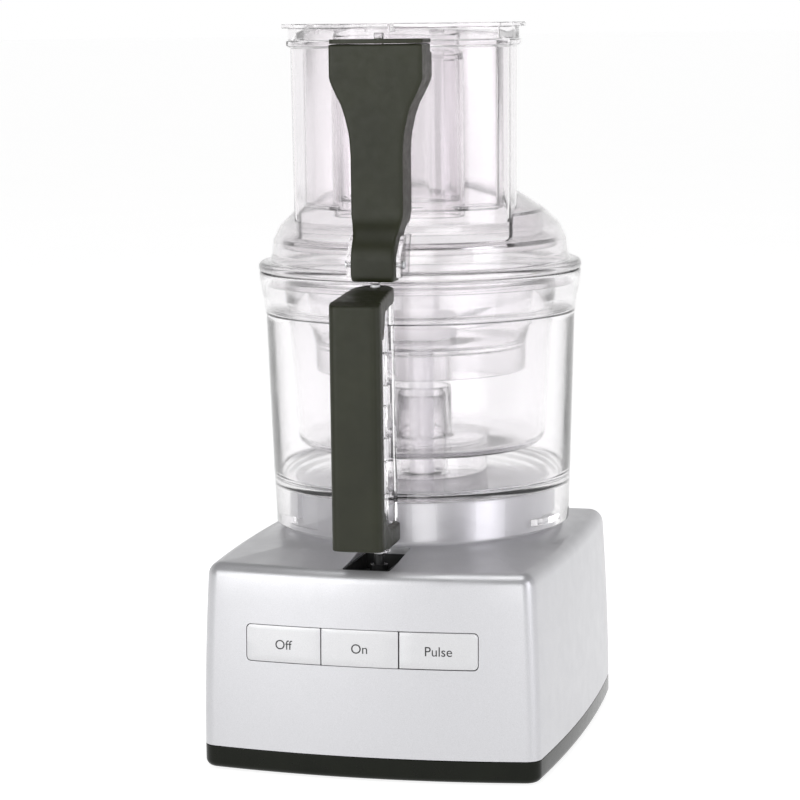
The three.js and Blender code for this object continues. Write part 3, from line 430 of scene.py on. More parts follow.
def make_base_housing():
    outer = base_rings(0.0, 8)
    rim = [(x, y) for x, y, _ in outer[-1]]
    for share in (0.12, 0.3, 0.5, 0.7, 0.88, 1.0):
        ease = share * share * (3 - 2 * share)
        outer.append(toward_circle(rim, CROWN_R, share, BASE["top"] + (CROWN_TOP - BASE["top"]) * ease))
    boss = fillet([(CROWN_R, CROWN_TOP), (BOSS_R, CROWN_TOP, 1.6), (BOSS_R, BOSS_TOP, 2.4), (11.3, BOSS_TOP, 0.8),
                   (11.3, 158.1), (78.5, 158.1, 2), (78.5, 125.8)], False, 4)
    for r, z in boss[1:]:
        outer.append(toward_circle(rim, r, 1.0, z))
    inner = base_rings(BASE["wall"], 3)
    inner.reverse()
    obj = rings_mesh("base_shell", outer + inner, loop=True)
    adds = []
    for sx, sy in CORNERS:
        x, y = sx * POST_X, BASE_Y + sy * POST_Y
        adds.append(spun("w", [(1.8, 15.4), (4.8, 15.4, 0.3), (4.8, 40, 0.5), (1.8, 40)], x, y))
        adds.append(block("w", *sorted((x + sx * 3.5, sx * 104)), y - 1.2, y + 1.2, 15.4, 39))
    boolean(obj, adds, "UNION")
    tools = [prism("w", rounded_rect(PANEL_X0, PANEL_X1, PANEL_Z0, PANEL_Z1, 3), -130, -106, "Y"),
             prism("w", rounded_rect(-15, 15, -112.5, -59.5, 2), 110, 145),
             lying_rod("w", 8, 120, 140, 60, 34, "Y", 40)]
    for i in range(7):
        tools.append(prism("w", rounded_rect(-64 + 12 * i, -60 + 12 * i, 30, 58, 1.9, 4), 126, 140, "Y"))
    for angle in LUG_ANGLES:
        tools.append(sector("w", 81.2, 86, angle - 8.5, angle + 38.5, 139, 144.2))
        tools.append(sector("w", 81.2, 86, angle + 21.5, angle + 38.5, 139.5, 165))
    tools += [spun("w", [(1.8, 10), (1.8, 35)], sx * POST_X, BASE_Y + sy * POST_Y, 16) for sx, sy in CORNERS]
    boolean(obj, tools)
    return finish_piece(obj, SILVER, "base", "base_housing", slot="silver_paint", sharp=28)


def sector(name, r0, r1, a0, a1, z0, z1):
    """A sector of a ring about the bowls' axis, angles in degrees from +X."""
    steps = max(3, int((a1 - a0) / 2.5))
    angles = [math.radians(a0 + (a1 - a0) * i / steps) for i in range(steps + 1)]
    plan = [(r1 * math.cos(a), BOWL_Y + r1 * math.sin(a)) for a in angles]
    plan += [(r0 * math.cos(a), BOWL_Y + r0 * math.sin(a)) for a in reversed(angles)]
    return prism(name, plan, z0, z1)


def make_base_plate():
    top, low, edge, wall, floor = 15.1, 1.2, 4.5, 7.0, 4.2
    side = fillet([(60, low), (0.0, low, edge), (0.0, top, 0.4), (wall, top, 0.4), (wall, floor, 2), (60, floor)],
                  False, 7)
    rings = [at_height(base_plan(BASE["half_w"] - inset, BASE["half_d"] - inset,
                                 max(3.0, BASE["corner"] - inset)), z) for inset, z in side]
    obj = rings_mesh("plinth", rings)
    adds = [boolean(block("w", -70, -30, 98, 118, 4, 28), [lying_rod("w", 18.3, -80, -20, 108, 46, "X")])]
    tools = []
    for sx, sy in CORNERS:
        x, y = sx * POST_X, BASE_Y + sy * POST_Y
        foot_x, foot_y = sx * FOOT_X, BASE_Y + sy * FOOT_Y
        adds.append(spun("w", [(11.9, 3.5), (11.9, 6.6)], foot_x, foot_y, 40))
        adds.append(spun("w", [(5.4, 3.5), (5.4, top)], x, y))
        tools.append(spun("w", [(9.3, -1), (9.3, 3.8)], foot_x, foot_y, 40))
        tools.append(spun("w", [(4.0, -1), (4.0, 9.6)], x, y))
        tools.append(spun("w", [(2.1, -1), (2.1, 20)], x, y))
    boolean(obj, adds, "UNION")
    boolean(obj, tools)
    return finish_piece(obj, BLACK, "base", "base_plate", slot="black_plastic", sharp=30)


def lying_rod(name, r, low, high, across, z, axis, sides=PIN):
    """A round rod along X (across is y) or along Y (across is x)."""
    turn = 2 * math.pi / sides
    outline = [(across + r * math.cos(i * turn), z + r * math.sin(i * turn)) for i in range(sides)]
    return prism(name, outline, low, high, axis)


def make_feet_and_screws():
    for i, (sx, sy) in enumerate(CORNERS, 1):
        foot = spun(f"rubber_foot_{i}", [(7.9, 0), (9.0, 0, 0.9), (9.0, 3.5, 0.4), (8.2, 3.5)],
                    sx * FOOT_X, BASE_Y + sy * FOOT_Y, 48)
        finish_piece(foot, RUBBER, "base", f"foot_{i}", slot="rubber")
        x, y = sx * POST_X, BASE_Y + sy * POST_Y
        screw = spun(f"plinth_screw_{i}", [
            (3.2, 7.0), (3.6, 7.0, 0.3), (3.6, 9.2, 0.3), (1.4, 9.2), (1.4, 29.6), (0.9, 30)], x, y)
        cross = [block("w", x - 2.2, x + 2.2, y - 0.45, y + 0.45, 6, 8.2),
                 block("w", x - 0.45, x + 0.45, y - 2.2, y + 2.2, 6, 8.2)]
        finish_piece(boolean(screw, cross), STEEL, "base", f"base_screw_{i}", slot="steel")


PANEL_X0, PANEL_X1, PANEL_Z0, PANEL_Z1 = -75.0, 69.9, 70.2, 93.2
BUTTON_GAP = 0.7                  # air between two buttons
BUTTON_NAMES = (("off", "Off"), ("on", "On"), ("pulse", "Pulse"))


def front_wall_y(x, z):
    """The base's bowed front wall at (x, z)."""
    return BASE_Y - BASE["half_d"] + lean_at(z) + BASE["front_bow"] * x * x


def make_buttons():
    low, high = PANEL_Z0 + 0.4, PANEL_Z1 - 0.4
    width = (PANEL_X1 - PANEL_X0) / 3
    for i, (key, word) in enumerate(BUTTON_NAMES):
        x0 = PANEL_X0 + i * width + (0.4 if i == 0 else BUTTON_GAP / 2)
        x1 = PANEL_X0 + (i + 1) * width - (0.4 if i == 2 else BUTTON_GAP / 2)
        left, right = (2.8 if i == 0 else 0.5), (2.8 if i == 2 else 0.5)
        outline = fillet([(x0, low, left), (x1, low, right), (x1, high, right), (x0, high, left)], True, 5)
        cap = prism(f"{key}_button_cap", outline, -130, -109.4, "Y")
        face = rings_mesh("w", [at_height(base_outline(z, 0.05), z) for z in range(60, 105, 5)])
        bevel(intersect(cap, face), 0.55, 3, 50)
        mid = (x0 + x1) / 2
        stem = block("w", mid - 6, mid + 6, -110.4, -101.3, 76.7, 86.7)
        boolean(cap, [stem], "UNION")
        finish_piece(cap, BUTTON, f"{key}_key", f"{key}_button", slot="button_silver", sharp=40)
        label(f"{key}_label", word, mid, (low + high) / 2 - 0.6, f"{key}_key")


def label(name, word, x, z, body):
    """A generic function word printed on a button: a very thin raised print that follows the bowed face."""
    curve = bpy.data.curves.new(name, "FONT")
    curve.body = word
    curve.size = 8.2 * MM
    curve.extrude = 0.02 * MM
    curve.align_x = "CENTER"
    curve.align_y = "CENTER"
    text = bpy.data.objects.new(name, curve)
    bpy.context.scene.collection.objects.link(text)
    bpy.context.view_layer.update()
    mesh = bpy.data.meshes.new_from_object(text.evaluated_get(bpy.context.evaluated_depsgraph_get()))
    bpy.data.objects.remove(text)
    for vertex in mesh.vertices:
        across, up, out = (c / MM for c in vertex.co)
        vertex.co = Vector((x + across, front_wall_y(x + across, z + up) + 0.03 - out, z + up)) * MM
    obj = bpy.data.objects.new(name, mesh)
    bpy.context.scene.collection.objects.link(obj)
    finish_piece(obj, INK, body, slot="black_plastic")


def make_interlock():
    plunger = spun("interlock_plunger_pin", [
        (2.6, 100), (3.0, 100, 0.2), (3.0, 110), (4.8, 110, 0.4), (4.8, 113, 0.4), (3.0, 113), (3.0, 132.1, 0.9),
        (1.9, 132.1)], 0, ROD_Y)
    finish_piece(plunger, WELL_BLACK, "interlock", "interlock_plunger", slot="black_plastic")
    for node, material in (("recess_insert", WELL_BLACK), ("interlock_switch", DARK), ("cord_grommet", BLACK),
                           ("run_capacitor", WHITE), ("button_carrier", DARK), ("switch_board", BOARD)):
        repaint(node, material)


def repaint(node, material):
    """A CAD node keeps its shape and gets a finished material."""
    mesh = NODES[node].data
    if not mesh.materials:
        mesh.materials.append(material)
    for i in range(len(mesh.materials)):
        mesh.materials[i] = material


# ------------------------------------------------------------------ bowls and handle
SCREW_Y = -90.6                   # the handle's screw
LUG_ANGLES = (-165, -15, 90)


def make_main_bowl():
    bowl = turned("main_bowl_clear", [
        (91.8, 136.2, 0.6), (94.3, 136.2, 0.9), (95.3, 164, 20), (98.6, 268, 20), (100.4, 281, 16),
        (102.4, 291, 10), (103, 297.1, 1.8), (98.9, 297.1, 0.7), (98.1, 271, 0.8), (95.8, 271, 0.9),
        (92.9, 164.4, 4.5), (16.4, 164.4, 2.5), (16.4, 214, 1.0), (14, 214, 0.7), (14, 161.4, 1.0),
        (92, 161.4, 1.0)])
    parts = [sector("w", 82, 93, a - 7, a + 7, 139.5, 143.5) for a in LUG_ANGLES]
    spine = prism("w", rounded_rect(-8, 8, -93, -62.5, 1.3, 4), 143.3, 285.8)
    boolean(spine, [spun("w", [(7.3, 134, 0.5), (7.3, 146)], 0, ROD_Y, 40)], "UNION")
    windows = [prism("w", rounded_rect(-87.5, -74.5, low, high, 1.8, 4), -12, 12, "X")
               for low, high in ((236, 257), (204, 225), (170, 191), (152, 168))]
    room = spun("w", [(93.4, 100), (93.4, 164.4), (96.4, 270.2), (99.0, 271), (99.8, 330)], sides=AROUND)
    boolean(spine, windows + [room])
    boolean(bowl, parts + [spine], "UNION")
    boolean(bowl, [spun("w", [(3.9, 130), (3.9, 292)], 0, ROD_Y),
                   spun("w", [(4.9, 144.5), (4.9, 154)], 0, ROD_Y),
                   spun("w", [(1.2, 138), (1.2, 158)], 0, SCREW_Y, 16)])
    return finish_piece(bowl, CLEAR, "bowls", "main_bowl", slot="clear_plastic", sharp=30)


def make_midi_bowl():
    bowl = turned("midi_bowl_clear", [
        (17.1, 184, 0.7), (40.5, 184, 1.0), (40.5, 164.7, 0.8), (42.5, 164.7, 0.8), (42.5, 184, 1.2),
        (79.9, 184, 6.5), (84.8, 271.3, 0.8), (96.2, 271.3, 0.9), (96.2, 273.6, 0.9), (85.2, 273.6, 1.0),
        (86.5, 292, 0.9), (84.3, 292, 0.9), (82, 272, 10), (77.6, 186.5, 5), (19.3, 186.5, 2), (19.3, 220, 0.8),
        (17.1, 220, 0.6)])
    return finish_piece(bowl, CLEAR_INNER, "bowls", "midi_bowl", slot="clear_plastic", sharp=30)


def make_mini_bowl():
    bowl = turned("mini_bowl_clear", [
        (17.2, 230, 0.7), (19.5, 230, 0.8), (19.5, 247.8, 1.0), (64.8, 247.8, 0.8), (64.8, 232, 0.7),
        (67, 232, 0.8), (67.3, 249.5, 6), (69.2, 258, 20), (71.5, 268, 10), (73.2, 277, 10), (76.2, 292.3, 1.2),
        (88, 292.3, 0.8), (88, 294.5, 0.8), (74, 294.5, 2.0), (71, 277, 10), (69.3, 268, 10), (65.1, 250.4, 3.5),
        (19.5, 250.4, 1.5), (19.5, 258, 0.8), (17.2, 258, 0.7)])
    return finish_piece(bowl, CLEAR_INNER, "bowls", "mini_bowl", slot="clear_plastic", sharp=30)


HANDLE_FRONT = -133.5


def handle_top(y):
    """The handle's sloping top, higher towards the bowl."""
    return 290.5 + (y - HANDLE_FRONT) * 6 / 65.1


def handle_arm_plan(half_front, half_back, back_y, steps=14):
    """A tongue from the grip's front to a round end at the spine."""
    middle = back_y - half_back
    points = [(4 - half_front, HANDLE_FRONT), (half_front - 4, HANDLE_FRONT), (half_front, HANDLE_FRONT + 4),
              (half_back, middle)]
    turns = [math.pi * i / steps for i in range(1, steps)]
    points += [(half_back * math.cos(a), middle + half_back * math.sin(a)) for a in turns]
    return points + [(-half_back, middle), (-half_front, HANDLE_FRONT + 4)]


def intersect(obj, *tools):
    return boolean(obj, tools, "INTERSECT")


def make_handle():
    low = 140.5
    grip = prism("handle_cover_moulding", fillet([
        (-15.4, HANDLE_FRONT, 6), (15.4, HANDLE_FRONT, 6), (15.8, -124.5, 5), (10.4, -117.2, 3.5),
        (-10.4, -117.2, 3.5), (-15.8, -124.5, 5)], True, 6), low, 300)
    roof = prism("w", fillet([
        (-140, 100), (-60, 100), (-60, handle_top(-60)), (-96, handle_top(-96) + 1.0, 40),
        (-126, handle_top(-126), 12), (-140, handle_top(-140) - 3)], True, 8), -20, 20, "X")
    arm = prism("w", handle_arm_plan(15.4, 12.6, -73.9), 268, 300)
    intersect(arm, prism("w", fillet([
        (HANDLE_FRONT, 262), (-118, 266), (-111, handle_top(-110) - 9.0, 6), (-60, handle_top(-60) - 8.0),
        (-60, 305), (HANDLE_FRONT, 305)], True, 6), -20, 20, "X"))
    cup = prism("w", handle_arm_plan(15.4, 13.2, -67.6), low, 166)
    intersect(cup, prism("w", fillet([
        (HANDLE_FRONT, low), (-60, low), (-60, 151.5), (-98, 152), (-112, 154, 8), (-118, 165),
        (HANDLE_FRONT, 165)], True, 6), -20, 20, "X"))
    boolean(grip, [arm, cup], "UNION")
    intersect(grip, roof, prism("w", fillet([
        (-140, 143.6), (-131, 142.6, 8), (-104, low, 30), (-55, low), (-55, 310), (-140, 310)], True, 6),
        -20, 20, "X"))
    boolean(grip, [spun("w", [(104, 280), (104, 310)], sides=AROUND),
                   spun("w", [(95.6, 100), (95.6, 166)], sides=AROUND)])
    bevel(grip, 1.4, 3, 40)
    soften(grip, 0.9, 6)
    boolean(grip, [
        block("w", -8.4, 8.4, -93.4, -50, 142.9, 170), spun("w", [(7.8, 100), (7.8, 160)], 0, ROD_Y, 40),
        spun("w", [(1.3, 100), (1.3, 150)], 0, SCREW_Y, 16),
        spun("w", [(2.4, 100), (2.4, 142.2)], 0, SCREW_Y, 24),
        spun("w", [(3.7, 250), (3.7, 310)], 0, ROD_Y, 32)])
    return finish_piece(grip, OLIVE, "bowls", "handle_cover", slot="olive_plastic", sharp=50)


def coil(name, r, wire, z0, z1, turns, x, y, sides=8, steps=28):
    """A wire helix with flat ends."""
    rings = []
    count = turns * steps
    slope = math.atan2(z1 - z0, 2 * math.pi * r * turns)
    for i in range(count + 1):
        a = 2 * math.pi * i / steps
        middle = Vector((x + r * math.cos(a), y + r * math.sin(a), z0 + (z1 - z0) * i / count))
        out = Vector((math.cos(a), math.sin(a), 0))
        along = Vector((-math.sin(a) * math.cos(slope), math.cos(a) * math.cos(slope), math.sin(slope)))
        up = along.cross(out)
        rings.append([middle + (out * math.cos(t) + up * math.sin(t)) * wire
                      for t in (2 * math.pi * k / sides for k in range(sides))])
    return rings_mesh(name, rings)


def make_rods():
    rod = spun("bowl_rod_pin", [
        (2.4, 132.5), (3.0, 132.5, 0.5), (3.0, 152.4), (4.4, 152.4, 0.4), (4.4, 154.4, 0.4), (3.0, 154.4),
        (3.0, 297.2, 0.8), (2.0, 297.2)], 0, ROD_Y)
    finish_piece(rod, PALE_STEEL, "bowl_safety_rod", "bowl_rod", slot="clear_plastic")
    spring = coil("bowl_rod_coil", 3.9, 0.35, 145.2, 151.6, 4, 0, ROD_Y)
    finish_piece(spring, STEEL, "bowls", "bowl_rod_spring", slot="steel")
    screw = spun("handle_screw_pin", [
        (1.6, 140.6), (1.9, 140.6, 0.2), (1.9, 141.8, 0.2), (0.9, 141.8), (0.9, 155.6), (0.4, 156)],
        0, SCREW_Y, 24)
    boolean(screw, [block("w", -1.2, 1.2, SCREW_Y - 0.25, SCREW_Y + 0.25, 140, 141.1)])
    finish_piece(screw, STEEL, "bowls", "handle_screw", slot="steel")
    bar = prism("lid_rod_bar", fillet([
        (-67.5, 447.4, 0.8), (-67.5, 329, 2), (-83.5, 313, 2), (-83.5, 297.6, 0.8), (-78.5, 297.6, 0.8),
        (-78.5, 311, 2), (-62.5, 327, 2), (-62.5, 447.4, 0.8)], True, 4), -2.5, 2.5, "X")
    boolean(bar, [block("w", -4.6, 4.6, -69.6, -60.4, 433.8, 435.4)], "UNION")
    bevel(bar, 0.25, 2)
    finish_piece(bar, CLEAR_INNER, "lid_safety_rod", "lid_rod", slot="clear_plastic")
    spring = coil("lid_rod_coil", 4.3, 0.4, 421.6, 433.2, 5, 0, -65)
    finish_piece(spring, STEEL, "lid_group", "lid_rod_spring", slot="steel")


# ------------------------------------------------------------------ drive
def about_bowls(obj, angle):
    """Moves a piece made about the origin onto the bowls' axis, turned by that many degrees."""
    turn = Matrix.Rotation(math.radians(angle), 4, "Z")
    obj.data.transform(Matrix.Translation((0, BOWL_Y * MM, 0)) @ turn)


def make_drive():
    spindle = spun("drive_spindle_sleeve", [
        (0.4, 176), (6.3, 176), (6.3, 150), (8, 150, 0.4), (8, 170, 0.6), (7.4, 172, 0.6), (7.4, 176, 0.6),
        (8, 178, 0.6), (8, 264, 1.0), (6, 266, 0.5), (0.4, 266)], sides=64)
    boolean(spindle, [block("w", 7.2, 9, BOWL_Y - 1.6, BOWL_Y + 1.6, 240, 270),
                      block("w", -9, -7.2, BOWL_Y - 1.6, BOWL_Y + 1.6, 240, 270)])
    finish_piece(spindle, PALE_STEEL, "drive", "drive_spindle", slot="steel")
    hub = spun("mini_blade_hub_moulding", [
        (0.4, 267), (8.4, 267), (8.4, 259), (20.4, 259), (20.4, 251.6), (23.5, 251.6, 0.6), (23.5, 262, 2.2),
        (13, 263.5, 2.5), (11.5, 276, 1.2), (9.5, 278, 1.0), (0.4, 278)], sides=72)
    slots = []
    for angle, z in ((200, 253.4), (20, 257.2)):
        slot = block("w", 21.1, 27.1, -7.5, 7.5, z - 0.55, z + 2.05)
        about_bowls(slot, angle)
        slots.append(slot)
    ribs = []
    for i in range(6):
        rib = block("w", 10.0, 12.2, -0.9, 0.9, 264, 276)
        about_bowls(rib, 60 * i + 30)
        ribs.append(rib)
    boolean(hub, ribs, "UNION")
    boolean(hub, slots)
    finish_piece(hub, WHITE, "drive", "mini_blade_hub", slot="white_plastic")
    for name, angle, z, rise, reach in (("low", 200, 253.4, 0, 60), ("high", 20, 257.2, 9, 56)):
        rings = []
        for i in range(33):
            t = i / 32 * 0.985
            lead = quad((21.4, -7), (reach * 0.72, -9), (reach, 9), t)
            back = quad((21.4, 7), (reach * 0.66, 5), (reach, 9), t)
            ground = tuple(a + (b - a) * 0.28 for a, b in zip(lead, back))
            section = [(*lead, 0.55), (*lead, 0.75), (*ground, 1.4), (*back, 1.4), (*back, 0.0),
                       (*ground, 0.0)]
            rings.append([(x, y, z + h + rise * (x - 21.4) / (reach - 21.4)) for x, y, h in section])
        steel = rings_mesh(f"mini_blade_{name}_steel", rings)
        about_bowls(steel, angle)
        finish_piece(steel, BLADE, "drive", f"mini_blade_{name}", slot="blade_steel", sharp=20)
    seal = turned("shaft_seal_ring", [
        (8.6, 156, 0.4), (11, 156, 0.4), (11, 161.4), (12.8, 161.4, 0.3), (12.8, 162.7, 0.5), (8.6, 162.7, 0.5)],
        sides=64)
    finish_piece(seal, RUBBER, "base", "shaft_seal", slot="rubber")
    for node, material in (("motor_shaft", STEEL), ("motor_rotor", LAMINATIONS), ("motor_fan", DARK),
                           ("motor_stator", LAMINATIONS), ("stator_winding_bottom", COPPER),
                           ("stator_winding_top", COPPER), ("motor_upper_bracket", STEEL),
                           ("motor_lower_bracket", STEEL), ("upper_bearing", STEEL), ("lower_bearing", STEEL),
                           *((f"motor_bolt_{i}", STEEL) for i in range(1, 5))):
        repaint(node, material)


def quad(a, b, c, t):
    """A point on a quadratic curve."""
    return tuple((1 - t) ** 2 * p + 2 * t * (1 - t) * q + t * t * r for p, q, r in zip(a, b, c))


# ------------------------------------------------------------------ lid and arm
def feed_plan(out, arc=22, turn=8, side=6):
    """The feed tube's outline, offset outwards: a front arc about the bowls' axis, and round corners."""
    half_w, front_r = 70 + out, 85 + out
    corner = max(3.0, 12 + out)
    cx = half_w - corner
    cy = BOWL_Y - math.sqrt((front_r - corner) ** 2 - cx ** 2)
    swing = math.asin(cx / (front_r - corner))
    back = 13.5 + out - corner
    front = [swing * i / arc for i in range(arc)]
    right = [(front_r * math.sin(a), BOWL_Y - front_r * math.cos(a)) for a in front]
    right += [(cx + corner * math.sin(swing + (math.pi / 2 - swing) * i / turn),
               cy - corner * math.cos(swing + (math.pi / 2 - swing) * i / turn)) for i in range(turn + 1)]
    right += [(half_w, cy + (back - cy) * i / side) for i in range(1, side)]
    quarter = [math.pi / 2 * i / turn for i in range(turn + 1)]
    right += [(cx + corner * math.cos(a), back + corner * math.sin(a)) for a in quarter]
    right += [(cx * (1 - i / side), 13.5 + out) for i in range(1, side)]
    left = [(-x, y) for x, y in right[1:]]
    return right + [(0.0, 13.5 + out)] + left[::-1]


def feed_loft(name, levels):
    return rings_mesh(name, [at_height(feed_plan(out), z) for out, z in levels])


DOME = [(103, 297.4, 1.6), (103, 303, 3.2), (96, 303, 1.6), (94.4, 308, 3), (93.4, 317, 7), (88.9, 326, 8),
        (78.9, 335.5, 14), (61.7, 346.8, 40), (40, 354, 60), (0.4, 358)]
UNDER = [(0.4, 355.4), (39, 351.5, 60), (60.4, 344.6, 40), (77.2, 333.6, 12), (86.7, 324.6, 7), (91, 316, 6),
         (92, 308, 4), (94.6, 300, 4), (94.6, 289, 0.6)]


ARM_SCREW = (-80, 309)            # y and z of the two screws that hold the arm


def make_lid():
    lid = spun("lid_clear", UNDER + [(96.8, 289, 0.7), (96.8, 297.4, 0.5)] + DOME, sides=AROUND, steps=5)
    wall = feed_loft("w", [(-0.8, 300), (0.2, 437.6), (0.7, 438.4), (2.2, 439.2), (2.75, 439.5), (2.9, 439.9),
                           (2.9, 442.0), (2.5, 442.4)])
    inside = [(r + 0.6, z + 0.9) for r, z, *_ in UNDER[:-1]] + [(95.4, 280)]
    boolean(wall, [spun("w", inside, sides=AROUND)])
    ring = turned("w", [(78.7, 334.9), (78.7, 320, 1.5), (87.6, 317, 1.5), (87.6, 312, 0.8), (85.6, 312, 0.8),
                        (85.6, 315.4, 1.0), (76.7, 318.4, 2), (76.7, 333.6)])
    parts = [wall, ring]
    for s in (-1, 1):
        outline = fillet([(-85, 301.5), (-50, 301.5), (-50, 326), (-74, 326, 8), (-85, 314, 6)], True, 6)
        bracket = prism("w", outline, *sorted((s * 14.2, s * 16.8)), "X")
        boolean(bracket, [spun("w", inside, sides=AROUND)])
        parts.append(bracket)
    boolean(lid, parts, "UNION")
    holes = [lying_rod("w", 1.8, *sorted((s * 12, s * 20)), *ARM_SCREW, "X") for s in (-1, 1)]
    bore = feed_loft("w", [(-3.4, 280), (-2.2, 437.5), (-2.0, 441.6), (-1.6, 442.6), (-1.4, 450)])
    boolean(lid, holes + [bore])
    return finish_piece(lid, CLEAR_LID, "lid_group", "lid", slot="clear_plastic", sharp=30)


def make_arm():
    right = [(12.6, 299, 1), (13.5, 301, 1), (13.5, 325, 8), (16.2, 338, 24), (16.2, 374, 40),
             (17.2, 387, 20), (19.2, 396, 14), (21.6, 404, 14), (25.2, 411, 14), (29, 419.5, 9), (29, 440.8, 0.6)]
    left = [(-x, *rest) for x, *rest in reversed(right)]
    arm = prism("lid_arm_moulding", fillet(right + left, True, 6), -95, -45, "Y")
    side = prism("w", fillet([
        (-73.7, 299, 0.6), (-87.8, 299, 1.2), (-88.5, 302, 2), (-88.5, 319, 22), (-75.5, 334, 22),
        (-75.5, 440.8, 0.6), (-48, 440.8), (-48, 334), (-60.5, 331.5, 6), (-65.2, 317, 4), (-65.2, 309.5, 1.5),
        (-73.7, 306, 2)], True, 8), -32, 32, "X")
    intersect(arm, side)
    bevel(arm, 3.2, 4, 55)
    way = prism("w", [(-85.4, 300.8), (-85.4, 316.5), (-72.6, 330.5), (-72.6, 448), (-40, 448), (-40, 300.8)],
                -4, 4, "X")
    boolean(arm, [spun("w", [(85.6, 280), (85.6, 436), (88.8, 436), (88.8, 460)], sides=AROUND), way])
    soften(arm, 0.85, 6)
    boolean(arm, [block("w", -24, 24, -72.6, -58, 421, 446), block("w", -3.4, 3.4, -84.4, -77.6, 290, 305),
                  lying_rod("w", 1.3, 7, 15, *ARM_SCREW, "X", 16),
                  lying_rod("w", 1.3, -15, -7, *ARM_SCREW, "X", 16)])
    finish_piece(arm, OLIVE, "lid_group", "lid_arm", slot="olive_plastic", sharp=50)
    cap = prism("lid_arm_cap_moulding", fillet([(-29, -75.5, 3.2), (29, -75.5, 3.2), (29, -48), (-29, -48)],
                                               True, 5), 441.1, 443.7)
    boolean(cap, [spun("w", [(88.5, 430), (88.5, 450)], sides=AROUND), block("w", -3, 3, -68, -62, 430, 450)])
    bevel(cap, 0.7, 3)
    finish_piece(cap, OLIVE, "lid_group", "lid_arm_cap", slot="olive_plastic", sharp=50)
    for s, side_name in ((-1, "left"), (1, "right")):
        screw = spun(f"arm_screw_{side_name}_pin", [(0.4, 7.6), (1.0, 8.2), (1.0, 17.1), (2.6, 17.1, 0.3),
                                                    (2.6, 18.5, 0.4), (0.6, 18.5)], 0, 0, 28)
        boolean(screw, [block("w", -1.7, 1.7, -0.35, 0.35, 17.8, 19),
                        block("w", -0.35, 0.35, -1.7, 1.7, 17.8, 19)])
        place = Matrix.Translation(Vector((0, *ARM_SCREW)) * MM)
        screw.data.transform(place @ Matrix.Rotation(s * math.pi / 2, 4, "Y"))
        finish_piece(screw, STEEL, "lid_group", f"arm_screw_{side_name}", slot="steel")


# ------------------------------------------------------------------ pushers
DOSER_Y = -20.5                   # middle of the dosing pusher


def oblong(half_x, half_y, steps=16):
    """An outline with round ends about (0, DOSER_Y), with even points along its straight sides."""
    points = []
    flat = half_x - half_y
    for s, start in ((1, -90), (-1, 90)):
        turns = [math.radians(start + 180 * i / steps) for i in range(steps + 1)]
        points += [(s * flat + half_y * math.cos(a), DOSER_Y + half_y * math.sin(a)) for a in turns]
        points += [(s * flat * (1 - 2 * i / 6), DOSER_Y + s * half_y) for i in range(1, 6)]
    return points


def oblong_loft(name, levels):
    return rings_mesh(name, [at_height(oblong(a, b), z) for a, b, z in levels])


def make_pushers():
    pusher = feed_loft("large_pusher_clear", [
        (-10.2, 338), (-9.4, 338.3), (-8.8, 338.9), (-8.4, 339.8), (-8.2, 442.4), (-7.8, 442.7), (1.3, 442.7),
        (1.7, 443.0), (1.7, 449.8), (2.1, 450.2), (5.4, 450.2), (5.8, 450.6), (5.8, 452.4), (5.4, 452.8)])
    hollow = feed_loft("w", [
        (-12.4, 340.5), (-11.4, 340.9), (-10.7, 341.7), (-10.4, 342.8), (-10.1, 452.0), (-9.7, 452.7),
        (-9.5, 453.8)])
    tab = prism("w", rounded_rect(-8, 8, -70.2, -50, 1.5), 447.8, 452.8)
    sleeve = oblong_loft("w", [(40.5, 19.5, 334), (41, 20, 334.6), (41, 20, 429.4), (40.5, 19.5, 430)])
    bore = oblong_loft("w", [(38.8, 17.8, 330), (38.8, 17.8, 460)])
    boolean(pusher, [hollow])
    boolean(pusher, [tab, sleeve], "UNION")
    boolean(pusher, [bore])
    finish_piece(pusher, CLEAR_LID, "large_pusher_group", "large_pusher", slot="clear_plastic", sharp=30)
    doser = oblong_loft("dosing_pusher_clear", [
        (36.8, 15.8, 344), (37.6, 16.6, 344.3), (38.05, 17.05, 344.9), (38.2, 17.2, 345.8), (38.2, 17.2, 430.4),
        (40.1, 19.1, 430.4), (40.4, 19.4, 430.8), (40.4, 19.4, 432.4), (40.1, 19.1, 432.8), (38.2, 17.2, 432.8),
        (38.2, 17.2, 444.4), (37.8, 16.8, 445)])
    well = oblong_loft("w", [
        (33.8, 12.8, 346), (35.2, 14.2, 346.4), (36.2, 15.2, 348), (36.2, 15.2, 444), (36.6, 15.6, 446)])
    boolean(doser, [well])
    finish_piece(doser, CLEAR_INNER, "dosing_pusher_group", "dosing_pusher", slot="clear_plastic", sharp=30)


# ------------------------------------------------------------------ studio
CAMERA_AT = Vector((0.4418, -1.7364, 0.46145))
CAMERA_YAW, CAMERA_PITCH, CAMERA_ROLL = math.radians(14.474), math.radians(7.8), math.radians(0.71)
LENS = 128.5


def make_camera():
    yaw, pitch, roll = CAMERA_YAW, CAMERA_PITCH, CAMERA_ROLL
    ahead = Vector((-math.sin(yaw) * math.cos(pitch), math.cos(yaw) * math.cos(pitch), -math.sin(pitch)))
    right = Vector((math.cos(yaw), math.sin(yaw), 0))
    up = right.cross(ahead)
    across = right * math.cos(roll) - up * math.sin(roll)
    above = up * math.cos(roll) + right * math.sin(roll)
    turn = Matrix((across, above, -ahead)).transposed().to_4x4()
    data = bpy.data.cameras.new("camera")
    data.lens = LENS
    data.sensor_width = 36
    data.clip_end = 50
    camera = bpy.data.objects.new("camera", data)
    camera.matrix_world = Matrix.Translation(CAMERA_AT) @ turn
    bpy.context.scene.collection.objects.link(camera)
    bpy.context.scene.camera = camera


